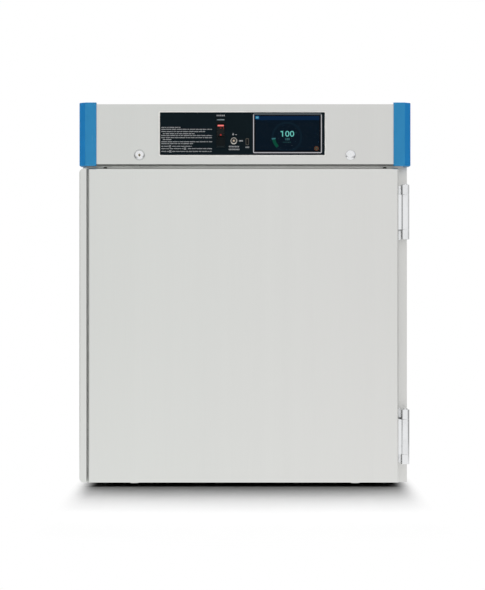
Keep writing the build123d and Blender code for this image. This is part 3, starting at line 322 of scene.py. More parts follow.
def front_plane(x, y, z, lean=0.0):
    """Takes a drawing onto an upright plane that faces the front, leaning back by an angle."""
    return Matrix.Translation((x, y, z)) @ Matrix.Rotation(math.pi / 2 - lean, 4, "X")


def face_plane(node, x, z):
    """Takes a drawing onto the face that a node shows to the front at a place in metres."""
    start = Vector((x, cad_box[0].y - 1.0, z))
    hit, spot, normal, _ = CAD[node].ray_cast(start, Vector((0.0, 1.0, 0.0)))
    if not hit:
        raise RuntimeError(f"{node} has no front face at {x}, {z}")
    return front_plane(*spot, math.atan2(normal.z, -normal.y))


def middle(node):
    """The middle of a node's box, in metres."""
    low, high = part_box(node)
    return (low + high) / 2


def edges(node):
    """A node's left, right, lower and upper edge, in millimetres."""
    low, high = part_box(node)
    return low.x / MM, high.x / MM, low.z / MM, high.z / MM


def round_points(x, z, radius, start, end, steps):
    """Points along a circle between two angles in degrees, both ends included."""
    angles = [math.radians(start + (end - start) * step / steps) for step in range(steps + 1)]
    return [(x + radius * math.cos(angle), z + radius * math.sin(angle)) for angle in angles]


def box_outline(x0, x1, z0, z1, corner=0.0):
    """A rectangle whose corners are round if they are given a radius."""
    if corner <= 0:
        return [(x0, z0), (x1, z0), (x1, z1), (x0, z1)]
    right, left, top, bottom = x1 - corner, x0 + corner, z1 - corner, z0 + corner
    points = []
    for quarter, (x, z) in enumerate(((right, top), (left, top), (left, bottom), (right, bottom))):
        points += round_points(x, z, corner, quarter * 90.0, quarter * 90.0 + 90.0, CORNER_STEPS)
    return points


def arc_outline(x, z, inner, outer, start, end):
    """A band of a ring between two angles in degrees."""
    steps = max(4, int((end - start) / ARC_STEP))
    return round_points(x, z, outer, start, end, steps) + round_points(x, z, inner, end, start, steps)


def disc_outline(x, z, radius, sides=32):
    """A circle with a number of sides."""
    return round_points(x, z, radius, 0.0, 360.0, sides)[:-1]


def plain_mesh(data, matrix):
    """A curve's or a text's mesh, with its doubles merged and put in its place."""
    obj = put("drawing", data)
    mesh = evaluated(obj)
    bpy.data.objects.remove(obj)
    shape = bmesh.new()
    shape.from_mesh(mesh)
    bmesh.ops.remove_doubles(shape, verts=shape.verts, dist=1e-7)
    bmesh.ops.recalc_face_normals(shape, faces=shape.faces)
    bmesh.ops.transform(shape, matrix=matrix, verts=shape.verts)
    shape.to_mesh(mesh)
    shape.free()
    return mesh


def drawn(outlines, thickness, matrix):
    """Closed outlines as one thin plate; an outline inside another is a hole."""
    curve = bpy.data.curves.new("drawing", "CURVE")
    curve.dimensions = "2D"
    curve.fill_mode = "BOTH"
    curve.extrude = thickness * MM / 2
    for outline in outlines:
        spline = curve.splines.new("POLY")
        spline.points.add(len(outline) - 1)
        for point, (x, y) in zip(spline.points, outline):
            point.co = (x * MM, y * MM, 0.0, 1.0)
        spline.use_cyclic_u = True
    return plain_mesh(curve, matrix)


def lettered(words, height, thickness, matrix):
    """Figures as a thin plate, centred on their place."""
    text = bpy.data.curves.new("figures", "FONT")
    text.body = words
    text.size = height * MM / CAP_HEIGHT
    text.align_x = "CENTER"
    text.align_y = "CENTER"
    text.extrude = thickness * MM / 2
    text.resolution_u = 4
    return plain_mesh(text, matrix)


def piece(name, body, slot, parts):
    """One object from meshes that have a finish each; it rides on a body."""
    shape = bmesh.new()
    materials = []
    for mesh, material in parts:
        if material not in materials:
            materials.append(material)
        for polygon in mesh.polygons:
            polygon.material_index = materials.index(material)
            polygon.use_smooth = False
        shape.from_mesh(mesh)
    whole = as_mesh(name, shape)
    for material in materials:
        whole.materials.append(material)
    obj = put(name, whole)
    settle(obj, body, slot)
    return obj


def settle(obj, body, slot, *nodes):
    """Let a piece ride on its body and stand for nodes; its slot is not used."""
    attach(obj, body)
    if nodes:
        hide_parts(*nodes)


def body_mesh(node):
    """A node's mesh with its loose triangles joined, as a bmesh."""
    shape = bmesh.new()
    shape.from_mesh(CAD[node].data)
    bmesh.ops.remove_doubles(shape, verts=shape.verts, dist=1e-6)
    return shape


def solid_boxes(node):
    """The lowest and highest corners of each separate solid of a node."""
    shape = body_mesh(node)
    boxes = []
    left = set(shape.verts)
    while left:
        found = {left.pop()}
        edge = list(found)
        while edge:
            near = {link.other_vert(v) for v in edge for link in v.link_edges} - found
            found |= near
            edge = list(near)
        left -= found
        places = [v.co for v in found]
        low = Vector(min(p[axis] for p in places) for axis in range(3))
        high = Vector(max(p[axis] for p in places) for axis in range(3))
        boxes.append((low, high))
    shape.free()
    return sorted(boxes, key=lambda box: tuple(box[0]))


# Settings that a user can change


def tint(name, description, default):
    """A colour."""
    return bpy.props.FloatVectorProperty(
        name=name, description=description, subtype="COLOR", default=default
    )


def length(name, description, default):
    """A length."""
    return bpy.props.FloatProperty(name=name, description=description, unit="LENGTH", default=default)


def power(name, description, default):
    """A lamp's power."""
    return bpy.props.FloatProperty(name=name, description=description, subtype="POWER", default=default)


# Finishes


def grained_steel(name, color, roughness, warmth=0.0):
    """Brushed stainless sheet: upright hair lines, broad streaks, a faint cloudiness and a warmer side."""
    finish = Finish(name, metallic=1.0)
    hair = finish.noise((900.0, 900.0, 9.0), detail=3.0, roughness=0.6)
    band = finish.noise((27.0, 27.0, 0.27), detail=2.0)
    cloud = finish.noise(3.0)
    tone = 1.0 + (hair - 0.5) * 0.05 + (band - 0.5) * 0.03 + (cloud - 0.5) * 0.03
    base = finish.shade(color, tone)
    if warmth:
        side = finish.axis("X").rise(cad_box[0].x, cad_box[1].x)
        warm = finish.shade((color[0] * (1 + warmth), color[1], color[2] * (1 + warmth * 0.5)), tone)
        base = finish.mix(side, base, warm)
    rough = roughness + (hair - 0.5) * 0.14 + (cloud - 0.5) * 0.08
    return finish.done(base, rough, hair, 0.01 * MM, 0.35)


def bright_chrome(name, color, roughness):
    """Polished plating with a trace of orange peel and fingerprints' haze."""
    finish = Finish(name, metallic=1.0)
    ripple = finish.noise(90.0, detail=3.0)
    haze = finish.noise(35.0, detail=4.0).rise(0.45, 0.75)
    rough = roughness + haze * 0.1
    return finish.done(finish.shade(color, 1.0 - haze * 0.05), rough, ripple, 0.08 * MM, 0.3)


def drawn_wire(name, color):
    """Bright welded wire: fine drawing marks and faint heat tint."""
    finish = Finish(name, metallic=1.0)
    marks = finish.noise((260.0, 60.0, 260.0), detail=3.0)
    tint = finish.noise(14.0, detail=2.0).rise(0.55, 0.8)
    base = finish.mix(tint * 0.35, color, (0.56, 0.47, 0.36))
    return finish.done(base, 0.2 + marks * 0.16, marks, 0.05 * MM, 0.3)


def galvanised_sheet(name, color):
    """Zinc spangle: crystals of slightly different grey and gloss."""
    finish = Finish(name, metallic=0.9)
    crystal = finish.add(
        "ShaderNodeTexVoronoi",
        {"feature": "F1"},
        {"Vector": finish.place(90.0), "Scale": 1.0},
        "Color",
    )
    grey = finish.add("ShaderNodeSeparateColor", inputs={0: crystal})
    rough = 0.38 + grey * 0.2
    return finish.done(finish.shade(color, 0.86 + grey * 0.24), rough, finish.noise(500.0), 0.04 * MM, 0.4)


def moulded_plastic(name, color, roughness, grain=900.0, specular=0.4):
    """Moulded plastic with a fine spark-eroded texture and slight mottling."""
    finish = Finish(name, specular=specular)
    pebble = finish.noise(grain, detail=2.0)
    mottle = finish.noise(22.0, detail=3.0)
    tone = 1.0 + (mottle - 0.5) * 0.12 + (pebble - 0.5) * 0.05
    rough = roughness + (mottle - 0.5) * 0.12
    return finish.done(finish.shade(color, tone), rough, pebble, 0.03 * MM, 0.5)


def bumper_plastic(name, color, shaded_side_color):
    """Thick satin plastic: paler on the front, with a painted shade that makes the bevels deeper blue, and
    scuffs near the edges.
    """
    finish = Finish(name, specular=0.14)
    # Painted shade: faces turned to the sides, the bevels, take the deeper side colour
    normal = finish.add("ShaderNodeNewGeometry", output="Normal")
    aside = abs(finish.add("ShaderNodeSeparateXYZ", inputs={0: normal})).rise(0.3, 0.75)
    pebble = finish.noise(700.0, detail=2.0)
    mottle = finish.noise((9.0, 9.0, 5.0), detail=3.0)
    scuff = finish.noise((160.0, 160.0, 18.0), detail=4.0, roughness=0.7).rise(0.66, 0.78)
    base = finish.mix(aside, color, shaded_side_color)
    base = finish.mix(scuff * 0.18, base, (0.35, 0.52, 0.66))
    base = finish.shade(base, 1.0 + (mottle - 0.5) * 0.1)
    return finish.done(base, 0.42 + (pebble - 0.5) * 0.1 + scuff * 0.15, pebble, 0.03 * MM, 0.4)


def label_film(name, color):
    """Matt polycarbonate film: a fine even texture that keeps the black deep."""
    finish = Finish(name, specular=0.04)
    weave = finish.noise(1500.0, detail=1.0)
    cloud = finish.noise(18.0, detail=2.0)
    base = finish.shade(color, 1.0 + (cloud - 0.5) * 0.3)
    return finish.done(base, 0.5 + (weave - 0.5) * 0.1, weave, 0.01 * MM, 0.4)


def soft_rubber(name, color):
    """Extruded seal rubber: matt, with faint die lines and dust."""
    finish = Finish(name, specular=0.25)
    dust = finish.noise(60.0, detail=4.0).rise(0.5, 0.8)
    lines = finish.noise((35.0, 1200.0, 35.0), detail=1.0)
    base = finish.mix(dust * 0.3, color, (0.52, 0.52, 0.5))
    return finish.done(base, 0.62 + dust * 0.15, lines, 0.08 * MM, 0.5)


def glass_wool(name, color):
    """Matted glass wool: tangled fibres, yellow with paler tufts."""
    finish = Finish(name, specular=0.2)
    fibre = finish.noise((240.0, 240.0, 900.0), detail=6.0, roughness=0.75)
    tangle = finish.noise((700.0, 160.0, 160.0), detail=6.0, roughness=0.75)
    tuft = finish.noise(28.0, detail=3.0)
    strand = (fibre + tangle) * 0.5
    base = finish.mix(strand.rise(0.35, 0.65), (0.5, 0.37, 0.13), color)
    return finish.done(finish.shade(base, 0.85 + tuft * 0.3), 0.9, strand, 1.2 * MM, 0.8)


def circuit_laminate(name, color):
    """Green lacquered board with a hint of copper tracks under the lacquer."""
    finish = Finish(name, specular=0.5)
    tracks = finish.add(
        "ShaderNodeTexBrick",
        {"offset": 0.5},
        {"Vector": finish.place(1.0), "Scale": 90.0, "Mortar Size": 0.06},
        "Fac",
    )
    cloth = finish.noise(900.0)
    base = finish.mix(tracks * 0.6, color, (0.02, 0.16, 0.08))
    return finish.done(base, 0.3 + cloth * 0.1, tracks, 0.04 * MM, 0.5)


def cast_aluminium(name, color):
    """Plain aluminium with mill lines and slight oxide bloom."""
    finish = Finish(name, metallic=1.0)
    lines = finish.noise((20.0, 600.0, 600.0), detail=3.0)
    bloom = finish.noise(45.0, detail=3.0).rise(0.4, 0.8)
    rough = 0.34 + bloom * 0.2 + (lines - 0.5) * 0.1
    return finish.done(finish.shade(color, 1.0 - bloom * 0.12), rough, lines, 0.03 * MM, 0.4)


def satin_paint(name, color):
    """Sprayed machine enamel with a light orange peel."""
    finish = Finish(name, specular=0.5, coat_weight=0.15, coat_roughness=0.3)
    peel = finish.noise(260.0, detail=2.0)
    grime = finish.noise(30.0, detail=4.0).rise(0.5, 0.8)
    return finish.done(finish.shade(color, 1.0 - grime * 0.25), 0.4 + grime * 0.2, peel, 0.1 * MM, 0.4)


def heated_sheath(name, color):
    """A heater's sheath, darkened by heat, with straw and blue bands."""
    finish = Finish(name, metallic=1.0)
    heat = finish.noise(16.0, detail=3.0)
    stops = [
        (0.35, color),
        (0.5, (0.33, 0.24, 0.14)),
        (0.62, (0.16, 0.16, 0.24)),
    ]
    tint = finish.add("ShaderNodeValToRGB", {"stops": stops}, {0: heat})
    marks = finish.noise(400.0, detail=3.0)
    return finish.done(tint, 0.42 + marks * 0.18, marks, 0.04 * MM, 0.4)


def smoked_glass(name, color):
    """Touch glass over the display: nearly clear, with a faint hard coat and wipe marks."""
    finish = Finish(name, specular=0.05, alpha=0.12)
    wipes = finish.noise((30.0, 30.0, 140.0), detail=3.0)
    return finish.done(color, 0.1 + wipes * 0.08)


def print_ink(name, color, glow=0.0):
    """Screen-printed ink: slightly uneven cover, and its own light where a display shows it."""
    finish = Finish(name, specular=0.15)
    cover = finish.noise(900.0, detail=2.0)
    base = finish.shade(color, 0.94 + cover * 0.12)
    if glow:
        finish.set(emission_color=base, emission_strength=glow, specular=0.03)
        base = (0.0, 0.0, 0.0)
    return finish.done(base, 0.5)


# The radius at which a colour ramp over a round node ends
RING_REACH = 16 * MM


def turned_metal(name, color, roughness, node, rings=(), dome=0.0):
    """Plating turned round a node's own middle: a rolled-over edge, and rings of other colours."""
    finish = Finish(name, metallic=1.0)
    low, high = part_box(node)
    x = finish.axis("X") - (low.x + high.x) / 2
    z = finish.axis("Z") - (low.z + high.z) / 2
    radius = x.math("SQRT", x * x + z * z)
    haze = finish.noise(60.0, detail=3.0)
    base = color
    if rings:
        stops = [(place * MM / RING_REACH, shown) for place, shown in rings]
        base = finish.add("ShaderNodeValToRGB", {"stops": stops}, {0: radius / RING_REACH})
    base = finish.shade(base, 0.97 + haze * 0.05)
    rough = roughness + haze * 0.06
    if not dome:
        return finish.done(base, rough)
    share = radius / ((high.x - low.x) / 2)
    fourth = share * share * share * share
    return finish.done(base, rough, 1.0 - fourth, dome)


class CabinetFinishes(bpy.types.PropertyGroup):
    """Colours that a user of the cabinet would change."""

    steel: tint("Stainless steel", "Colour of the outer sheets", (0.674, 0.685, 0.663))
    inner_steel: tint("Inner steel", "Colour of the chamber's sheets", (0.6, 0.61, 0.59))
    chrome: tint("Chrome", "Colour of hinges and locks", (0.79, 0.8, 0.81))
    bumper: tint("Bumpers", "Colour of the bumpers' fronts", (0.036, 0.262, 0.53))
    # Painted shade: the bevels' deeper blue stands for the shade on the bumpers' sides
    bumper_shaded_side: tint("Bumper sides", "Colour of their bevels", (0.011, 0.235, 0.59))
    overlay: tint("Label film", "Colour of the control plate", (0.0046, 0.0098, 0.013))
    wool: tint("Glass wool", "Colour of the insulation", (0.78, 0.66, 0.3))


# Painted light: how much lighter the door's copy of the stainless steel is than the housing's
DOOR_PAINTED_LIGHT = 1.055
OUTER_ROUGHNESS = 0.34
# How much red the outer steel gains towards its right side
WARM_SIDE = 0.015


def finish_of_slots(colors):
    """One material for each slot of the record."""
    return {
        "stainless": grained_steel("stainless", colors.steel, OUTER_ROUGHNESS, warmth=WARM_SIDE),
        "stainless_inner": grained_steel("stainless_inner", colors.inner_steel, 0.3),
        "stainless_wire": drawn_wire("stainless_wire", (0.66, 0.66, 0.65)),
        "galvanised": galvanised_sheet("galvanised", (0.5, 0.51, 0.52)),
        "chrome": bright_chrome("chrome", colors.chrome, 0.1),
        "steel_fasteners": bright_chrome("steel_fasteners", (0.6, 0.6, 0.6), 0.24),
        "blue_bumper": bumper_plastic("blue_bumper", colors.bumper, colors.bumper_shaded_side),
        "black_overlay": label_film("black_overlay", colors.overlay),
        "black_plastic": moulded_plastic("black_plastic", (0.005, 0.0075, 0.0085), 0.42, specular=0.08),
        "rocker_plastic": moulded_plastic("rocker_plastic", (0.008, 0.009, 0.009), 0.26, specular=0.12),
        "screen_glass": smoked_glass("screen_glass", (0.001, 0.004, 0.01)),
        "display": print_ink("display", (0.0028, 0.0085, 0.0165), glow=1.0),
        "insulation": glass_wool("insulation", colors.wool),
        "gasket_rubber": soft_rubber("gasket_rubber", (0.27, 0.28, 0.29)),
        "circuit_board": circuit_laminate("circuit_board", (0.01, 0.09, 0.04)),
        "aluminium": cast_aluminium("aluminium", (0.6, 0.61, 0.63)),
        "motor_paint": satin_paint("motor_paint", (0.03, 0.033, 0.036)),
        "heater_sheath": heated_sheath("heater_sheath", (0.25, 0.22, 0.2)),
        "bush_nylon": moulded_plastic("bush_nylon", (0.78, 0.77, 0.72), 0.5, grain=300.0),
    }


def dress(obj, material):
    """Give an object one material."""
    obj.data.materials.clear()
    obj.data.materials.append(material)


class WARMING_CABINET_OT_finishes(bpy.types.Operator):
    """Give every carried-over piece the finish of its slot"""

    bl_idname = "warming_cabinet.finishes"
    bl_label = "Finishes"

    def execute(self, context):
        colors = context.scene.cabinet_finishes
        finishes = finish_of_slots(colors)
        for part in frame["record"]["subparts"]:
            dress(CAD[part["node"]], finishes[part["material_slot"]])
        # The door takes a lighter copy of the one stainless steel: painted light
        door = tuple(channel * DOOR_PAINTED_LIGHT for channel in colors.steel)
        door_steel = grained_steel("door_steel", door, OUTER_ROUGHNESS, warmth=WARM_SIDE)
        for node in ("door_outer_pan", "door_pull"):
            dress(CAD[node], door_steel)
        self.turned(colors)
        return {"FINISHED"}

    @staticmethod
    def turned(colors):
        """The locks' and the key switch's plating: rings by their radius in millimetres, and a dome."""
        dark = (0.02, 0.02, 0.019)
        # Painted shade: the keyway's dark brown middle stands for the shade down the keyhole, inside a ring
        # of brass
        keyway = (
            (0.0, (0.05, 0.035, 0.015)),
            (1.8, (0.12, 0.09, 0.035)),
            (2.4, (0.5, 0.46, 0.36)),
            (3.4, colors.chrome),
        )
        collar = ((5.9, dark), (6.3, (0.55, 0.53, 0.49)))
        post = (
            (0.0, (0.62, 0.46, 0.3)),
            (1.5, (0.5, 0.4, 0.3)),
            (2.1, (0.24, 0.23, 0.21)),
            (3.1, (0.2, 0.19, 0.18)),
            (3.5, dark),
        )
        turned = (
            ("door_lock_body", (), 1.8 * MM),
            ("hole_plug", (), 2.0 * MM),
            ("door_lock_plug", keyway, 0.0),
            ("key_switch_body", collar, 0.0),
            ("key_switch_plug", post, 0.0),
        )
        for node, rings, dome in turned:
            dress(CAD[node], turned_metal(f"{node}_plating", colors.chrome, 0.12, node, rings, dome))


# Label plate


class CabinetLabel(bpy.types.PropertyGroup):
    """The label plate's border and its printed marks."""

    border: length("Border", "Width of the pale border", 3.2 * MM)
    margin: length("Margin", "Width of the black margin outside the plate", 0.9 * MM)
    ink: tint("Ink", "Colour of the printed marks", (0.36, 0.37, 0.38))
    letter: length("Mark height", "Height of the rows of marks", 2.1 * MM)


# Rows of marks: how far below the plate's top, and where they start and end, in millimetres
ROWS = (
    (34.2, 2.6, 46.6),
    (38.6, 2.6, 119.7),
    (43.7, 2.6, 103.5),
    (48.6, 6.0, 80.3),
    (53.0, 2.6, 119.7),
    (57.9, 2.6, 119.5),
    (62.3, 6.0, 26.9),
    (67.4, 2.6, 119.9),
    (71.8, 2.6, 75.6),
    (78.0, 2.6, 73.3),
    (83.4, 2.6, 119.7),
    (89.9, 2.6, 119.7),
)
# Small squares in the rows: how far below the top and from the left
KEYCAPS = ((78.0, 22.4), (83.4, 57.4), (89.9, 23.2))
KEYCAP_ROOM = 4.2
INK_LIFT = 0.06
LETTER_WIDTHS = (0.85, 1.35)
LETTER_GAP = 0.42
WORD_GAP = 1.3
BAR_SHARE = 0.68
TITLE_HEIGHT = 1.5
BORDER_THICKNESS = 0.5


def marks_in_row(drop, start, end, chance):
    """The short marks of one row: x, y, z and width, grouped like words."""
    low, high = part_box("control_overlay")
    taken = [x for row, x in KEYCAPS if row == drop]
    marks = []
    x = start
    left_in_word = chance.randint(3, 9)
    while x < end:
        width = chance.uniform(*LETTER_WIDTHS)
        if left_in_word and all(abs(x - cap) > KEYCAP_ROOM for cap in taken):
            marks.append((low.x + (x + width / 2) * MM, low.y, high.z - drop * MM, width * MM))
        x += width + LETTER_GAP
        left_in_word -= 1
        if left_in_word <= 0:
            x += WORD_GAP
            left_in_word = chance.randint(2, 9)
    return marks


def row_of_bars(x0, x1, z, count):
    """A given number of bars between two places: x, y, z and width."""
    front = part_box("control_overlay")[0].y
    pitch = (x1 - x0) / count
    middles = [x0 + (step + 0.5) * pitch for step in range(count)]
    return [(x * MM, front, z * MM, pitch * BAR_SHARE * MM) for x in middles]


def mark_tree(material):
    """A bar on every point, as wide as the point's own stretch."""
    tree = Shape("printed_marks", facing=(0.0, 0.0, 0.0), height=2.1 * MM, lift=INK_LIFT * MM)
    bar = tree.add("GeometryNodeMeshCube", inputs={"Size": (1.0, 1.0, 1.0)})
    wide = tree.add("GeometryNodeInputNamedAttribute", {"data_type": "FLOAT"}, {"Name": "stretch"})
    scale = tree.vector(wide, tree.size("lift") * 2.0, tree.size("height"))
    return tree.close(tree.on_points(bar, scale), material)


class WARMING_CABINET_OT_label(bpy.types.Operator):
    """Lay the pale border and the printed marks on the label plate"""

    bl_idname = "warming_cabinet.label"
    bl_label = "Label plate"

    def execute(self, context):
        label = context.scene.cabinet_label
        ink = print_ink("label_ink", label.ink)
        pale = print_ink("label_border_ink", (0.82, 0.815, 0.79))
        film = label_film("label_margin", context.scene.cabinet_finishes.overlay)
        margin = label.margin / MM
        rim = self.outline(margin + label.border / MM, 4.0)
        hole = self.outline(margin, 2.0)
        inner = self.outline(-0.3, 1.0)
        plane = front_plane(0.0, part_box("header_front")[0].y, 0.0)
        parts = [
            (drawn([rim, hole], BORDER_THICKNESS, plane), pale),
            (drawn([hole, inner], BORDER_THICKNESS, plane), film),
        ]
        piece("label_border", "cabinet", "black_overlay", parts)

        chance = random.Random(SEED)
        marks = [mark for row in ROWS for mark in marks_in_row(*row, chance)]
        tree = mark_tree(ink)
        rows = tree.grow("label_rows", marks, height=label.letter)
        settle(rows, "cabinet", "black_overlay")
        titles = tree.grow("label_titles", self.words(), height=label.letter * TITLE_HEIGHT)
        settle(titles, "cabinet", "black_overlay")
        self.signs(ink)
        return {"FINISHED"}

    @staticmethod
    def outline(grow, corner):
        """The plate's outline, larger by a length all round."""
        left, right, lower, upper = edges("control_overlay")
        return box_outline(left - grow, right + grow, lower - grow, upper + grow, corner)

    @staticmethod
    def words():
        """The bars that stand for the words beside the controls."""
        key = middle("key_switch_body") / MM
        port = middle("usb_port") / MM
        switch = middle("power_switch_body") / MM
        top = edges("control_overlay")[3]
        rows = (
            (key.x - 11.9, key.x + 12.6, key.z - 13.5, 7),
            (key.x - 12.2, key.x + 13.4, key.z - 20.0, 8),
            (key.x + 11.6, key.x + 21.4, key.z - 0.2, 4),
            (port.x - 4.4, port.x + 4.9, port.z - 12.9, 3),
            (switch.x - 10.1, switch.x + 10.1, top - 6.5, 5),
        )
        return [bar for row in rows for bar in row_of_bars(*row)]

    @staticmethod
    def signs(ink):
        """The padlock over the key and the small key caps in the rows."""
        key = middle("key_switch_body") / MM
        left, _, _, top = edges("control_overlay")
        body = box_outline(key.x - 3.4, key.x + 0.4, key.z + 13.0, key.z + 16.0, 0.4)
        shackle = arc_outline(key.x - 1.5, key.z + 16.2, 0.9, 1.6, 0.0, 180.0)
        line = box_outline(key.x + 3.4, key.x + 7.2, key.z + 13.4, key.z + 15.0)
        signs = [[body, shackle], [line]]
        for drop, aside in KEYCAPS:
            x, z = left + aside, top - drop
            cap = box_outline(x - 2.5, x + 2.5, z - 2.4, z + 2.4, 0.5)
            hole = box_outline(x - 1.6, x + 1.6, z - 1.5, z + 1.5, 0.3)
            signs.append([cap, hole, disc_outline(x, z, 0.9)])
        plane = front_plane(0.0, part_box("control_overlay")[0].y, 0.0)
        marks = [(drawn(sign, 2 * INK_LIFT, plane), ink) for sign in signs]
        piece("label_signs", "cabinet", "black_overlay", marks)


# Screen


SCREEN_COLORS = {
    "bar": (0.0022, 0.0148, 0.046),
    "badge": (0.004, 0.11, 0.27),
    "badge_sign": (0.12, 0.34, 0.42),
    "figures": (0.15, 0.56, 0.5),
    "small_figures": (0.06, 0.2, 0.21),
    "faint": (0.012, 0.045, 0.05),
    "ring": (0.003, 0.0115, 0.021),
    "gauge": (0.002, 0.06, 0.035),
    "gauge_end": (0.035, 0.14, 0.16),
    "bell": (0.135, 0.05, 0.02),
    "bell_sign": (0.085, 0.085, 0.06),
    "edge": (0.0005, 0.0008, 0.0025),
}
# Middles of the dial and of the bell, from the screen's own middle
DIAL = (-1.2, -9.2)
BELL = (67.3, -35.6)
PICTURE_LAYER = 0.04
FIGURE_THICKNESS = 0.12
FIGURE_FLAG = ((-16.0, 4.6), (-16.0, 2.5), (-12.5, 1.8), (-12.5, 4.6))
# Words, their height, the share of it that stays, their place and their colour
FIGURES = (
    ("100", 15.3, 0.87, -0.4, -2.5, "figures"),
    ("100", 5.3, 1.0, -0.6, -14.4, "small_figures"),
)


class WARMING_CABINET_OT_screen(bpy.types.Operator):
    """Lay the lit picture on the glass, and round the screen's frame the bright trim with a band of painted
    shade along its top
    """

    bl_idname = "warming_cabinet.screen"
    bl_label = "Screen"

    def execute(self, context):
        lit = {}
        for name, color in SCREEN_COLORS.items():
            lit[name] = print_ink(f"screen_{name}", color, glow=1.0)
        spot = middle("screen_glass")
        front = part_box("screen_glass")[0].y
        plane = front_plane(spot.x, front, spot.z)
        parts = []
        for name, layer, *outlines in self.drawings():
            parts.append((drawn(outlines, PICTURE_LAYER * (1 + layer), plane), lit[name]))
        for words, height, share, aside, rise, name in FIGURES:
            place = front_plane(spot.x + aside * MM, front, spot.z + rise * MM)
            place = place @ Matrix.Diagonal((1.0, share, 1.0, 1.0))
            parts.append((lettered(words, height, FIGURE_THICKNESS, place), lit[name]))
        piece("screen_picture", "cabinet", "display", parts)
        self.trim()
        return {"FINISHED"}

    @staticmethod
    def drawings():
        """The picture's flat forms from the screen's middle: the colour, the layer and the outlines."""
        left, right, lower, upper = edges("screen_glass")
        half_x, half_z = (right - left) / 2, (upper - lower) / 2
        inside = half_x - 1.2
        top = half_z - 2.4
        text = [box_outline(-10.7 + 2.75 * step, -8.8 + 2.75 * step, -22.4, -20.1) for step in range(7)]
        return (
            ("bar", 0, box_outline(-inside, inside, top - 9.5, top)),
            (
                "edge",
                0,
                box_outline(-half_x, half_x, -half_z, half_z),
                box_outline(-inside, inside, 2.0 - half_z, top),
            ),
            ("badge", 1, box_outline(0.6 - half_x, 9.4 - half_x, top - 7.0, top + 0.1)),
            ("badge_sign", 2, box_outline(2.2 - half_x, 7.6 - half_x, top - 5.6, top - 1.6, 0.6)),
            ("ring", 0, disc_outline(*DIAL, 35.5, 64), disc_outline(*DIAL, 31.0, 64)),
            ("gauge", 1, arc_outline(*DIAL, 27.6, 34.6, 190.0, 226.0)),
            ("gauge_end", 1, arc_outline(*DIAL, 26.6, 35.6, 184.0, 190.0)),
            ("faint", 1, disc_outline(20.2, 1.3, 1.7), disc_outline(20.2, 1.3, 0.9)),
            ("faint", 1, *text),
            ("bell", 1, disc_outline(*BELL, 5.1), disc_outline(*BELL, 3.6)),
            ("bell_sign", 1, disc_outline(*BELL, 2.9), box_outline(65.1, 69.5, -36.1, -35.1)),
            ("figures", 1, FIGURE_FLAG),
        )

    @staticmethod
    def trim():
        """The bright ring of the screen's frame, and a grey band of painted shade along its top."""
        left, right, lower, upper = edges("screen_bezel")
        ring = [
            box_outline(left, right, lower + 0.4, upper - 2.4, 3.0),
            box_outline(left + 2.1, right - 2.1, lower + 2.6, upper - 4.4, 1.4),
        ]
        # Painted shade: the grey band darkens the frame's top, where shade falls
        band = [box_outline(left + 1.2, right - 1.2, upper - 5.0, upper + 0.3, 1.0)]
        plane = front_plane(0.0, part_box("screen_bezel")[0].y, 0.0)
        bright = bright_chrome("screen_trim", (0.5, 0.49, 0.52), 0.3)
        dim = moulded_plastic("screen_band", (0.07, 0.082, 0.092), 0.4, specular=0.2)
        parts = [(drawn(ring, 0.9, plane), bright), (drawn(band, 1.0, plane), dim)]
        bevel(piece("screen_trim", "cabinet", "chrome", parts), 0.25 * MM)


def bevel(obj, width):
    """Round a piece's sharp edges a little."""
    modifier = obj.modifiers.new("bevel", "BEVEL")
    modifier.width = width
    modifier.segments = 2
    modifier.limit_method = "ANGLE"


# Switches and locks


# From the rocker's middle to the middles of its two faces
ROCKER_FACE = 7.5 * MM


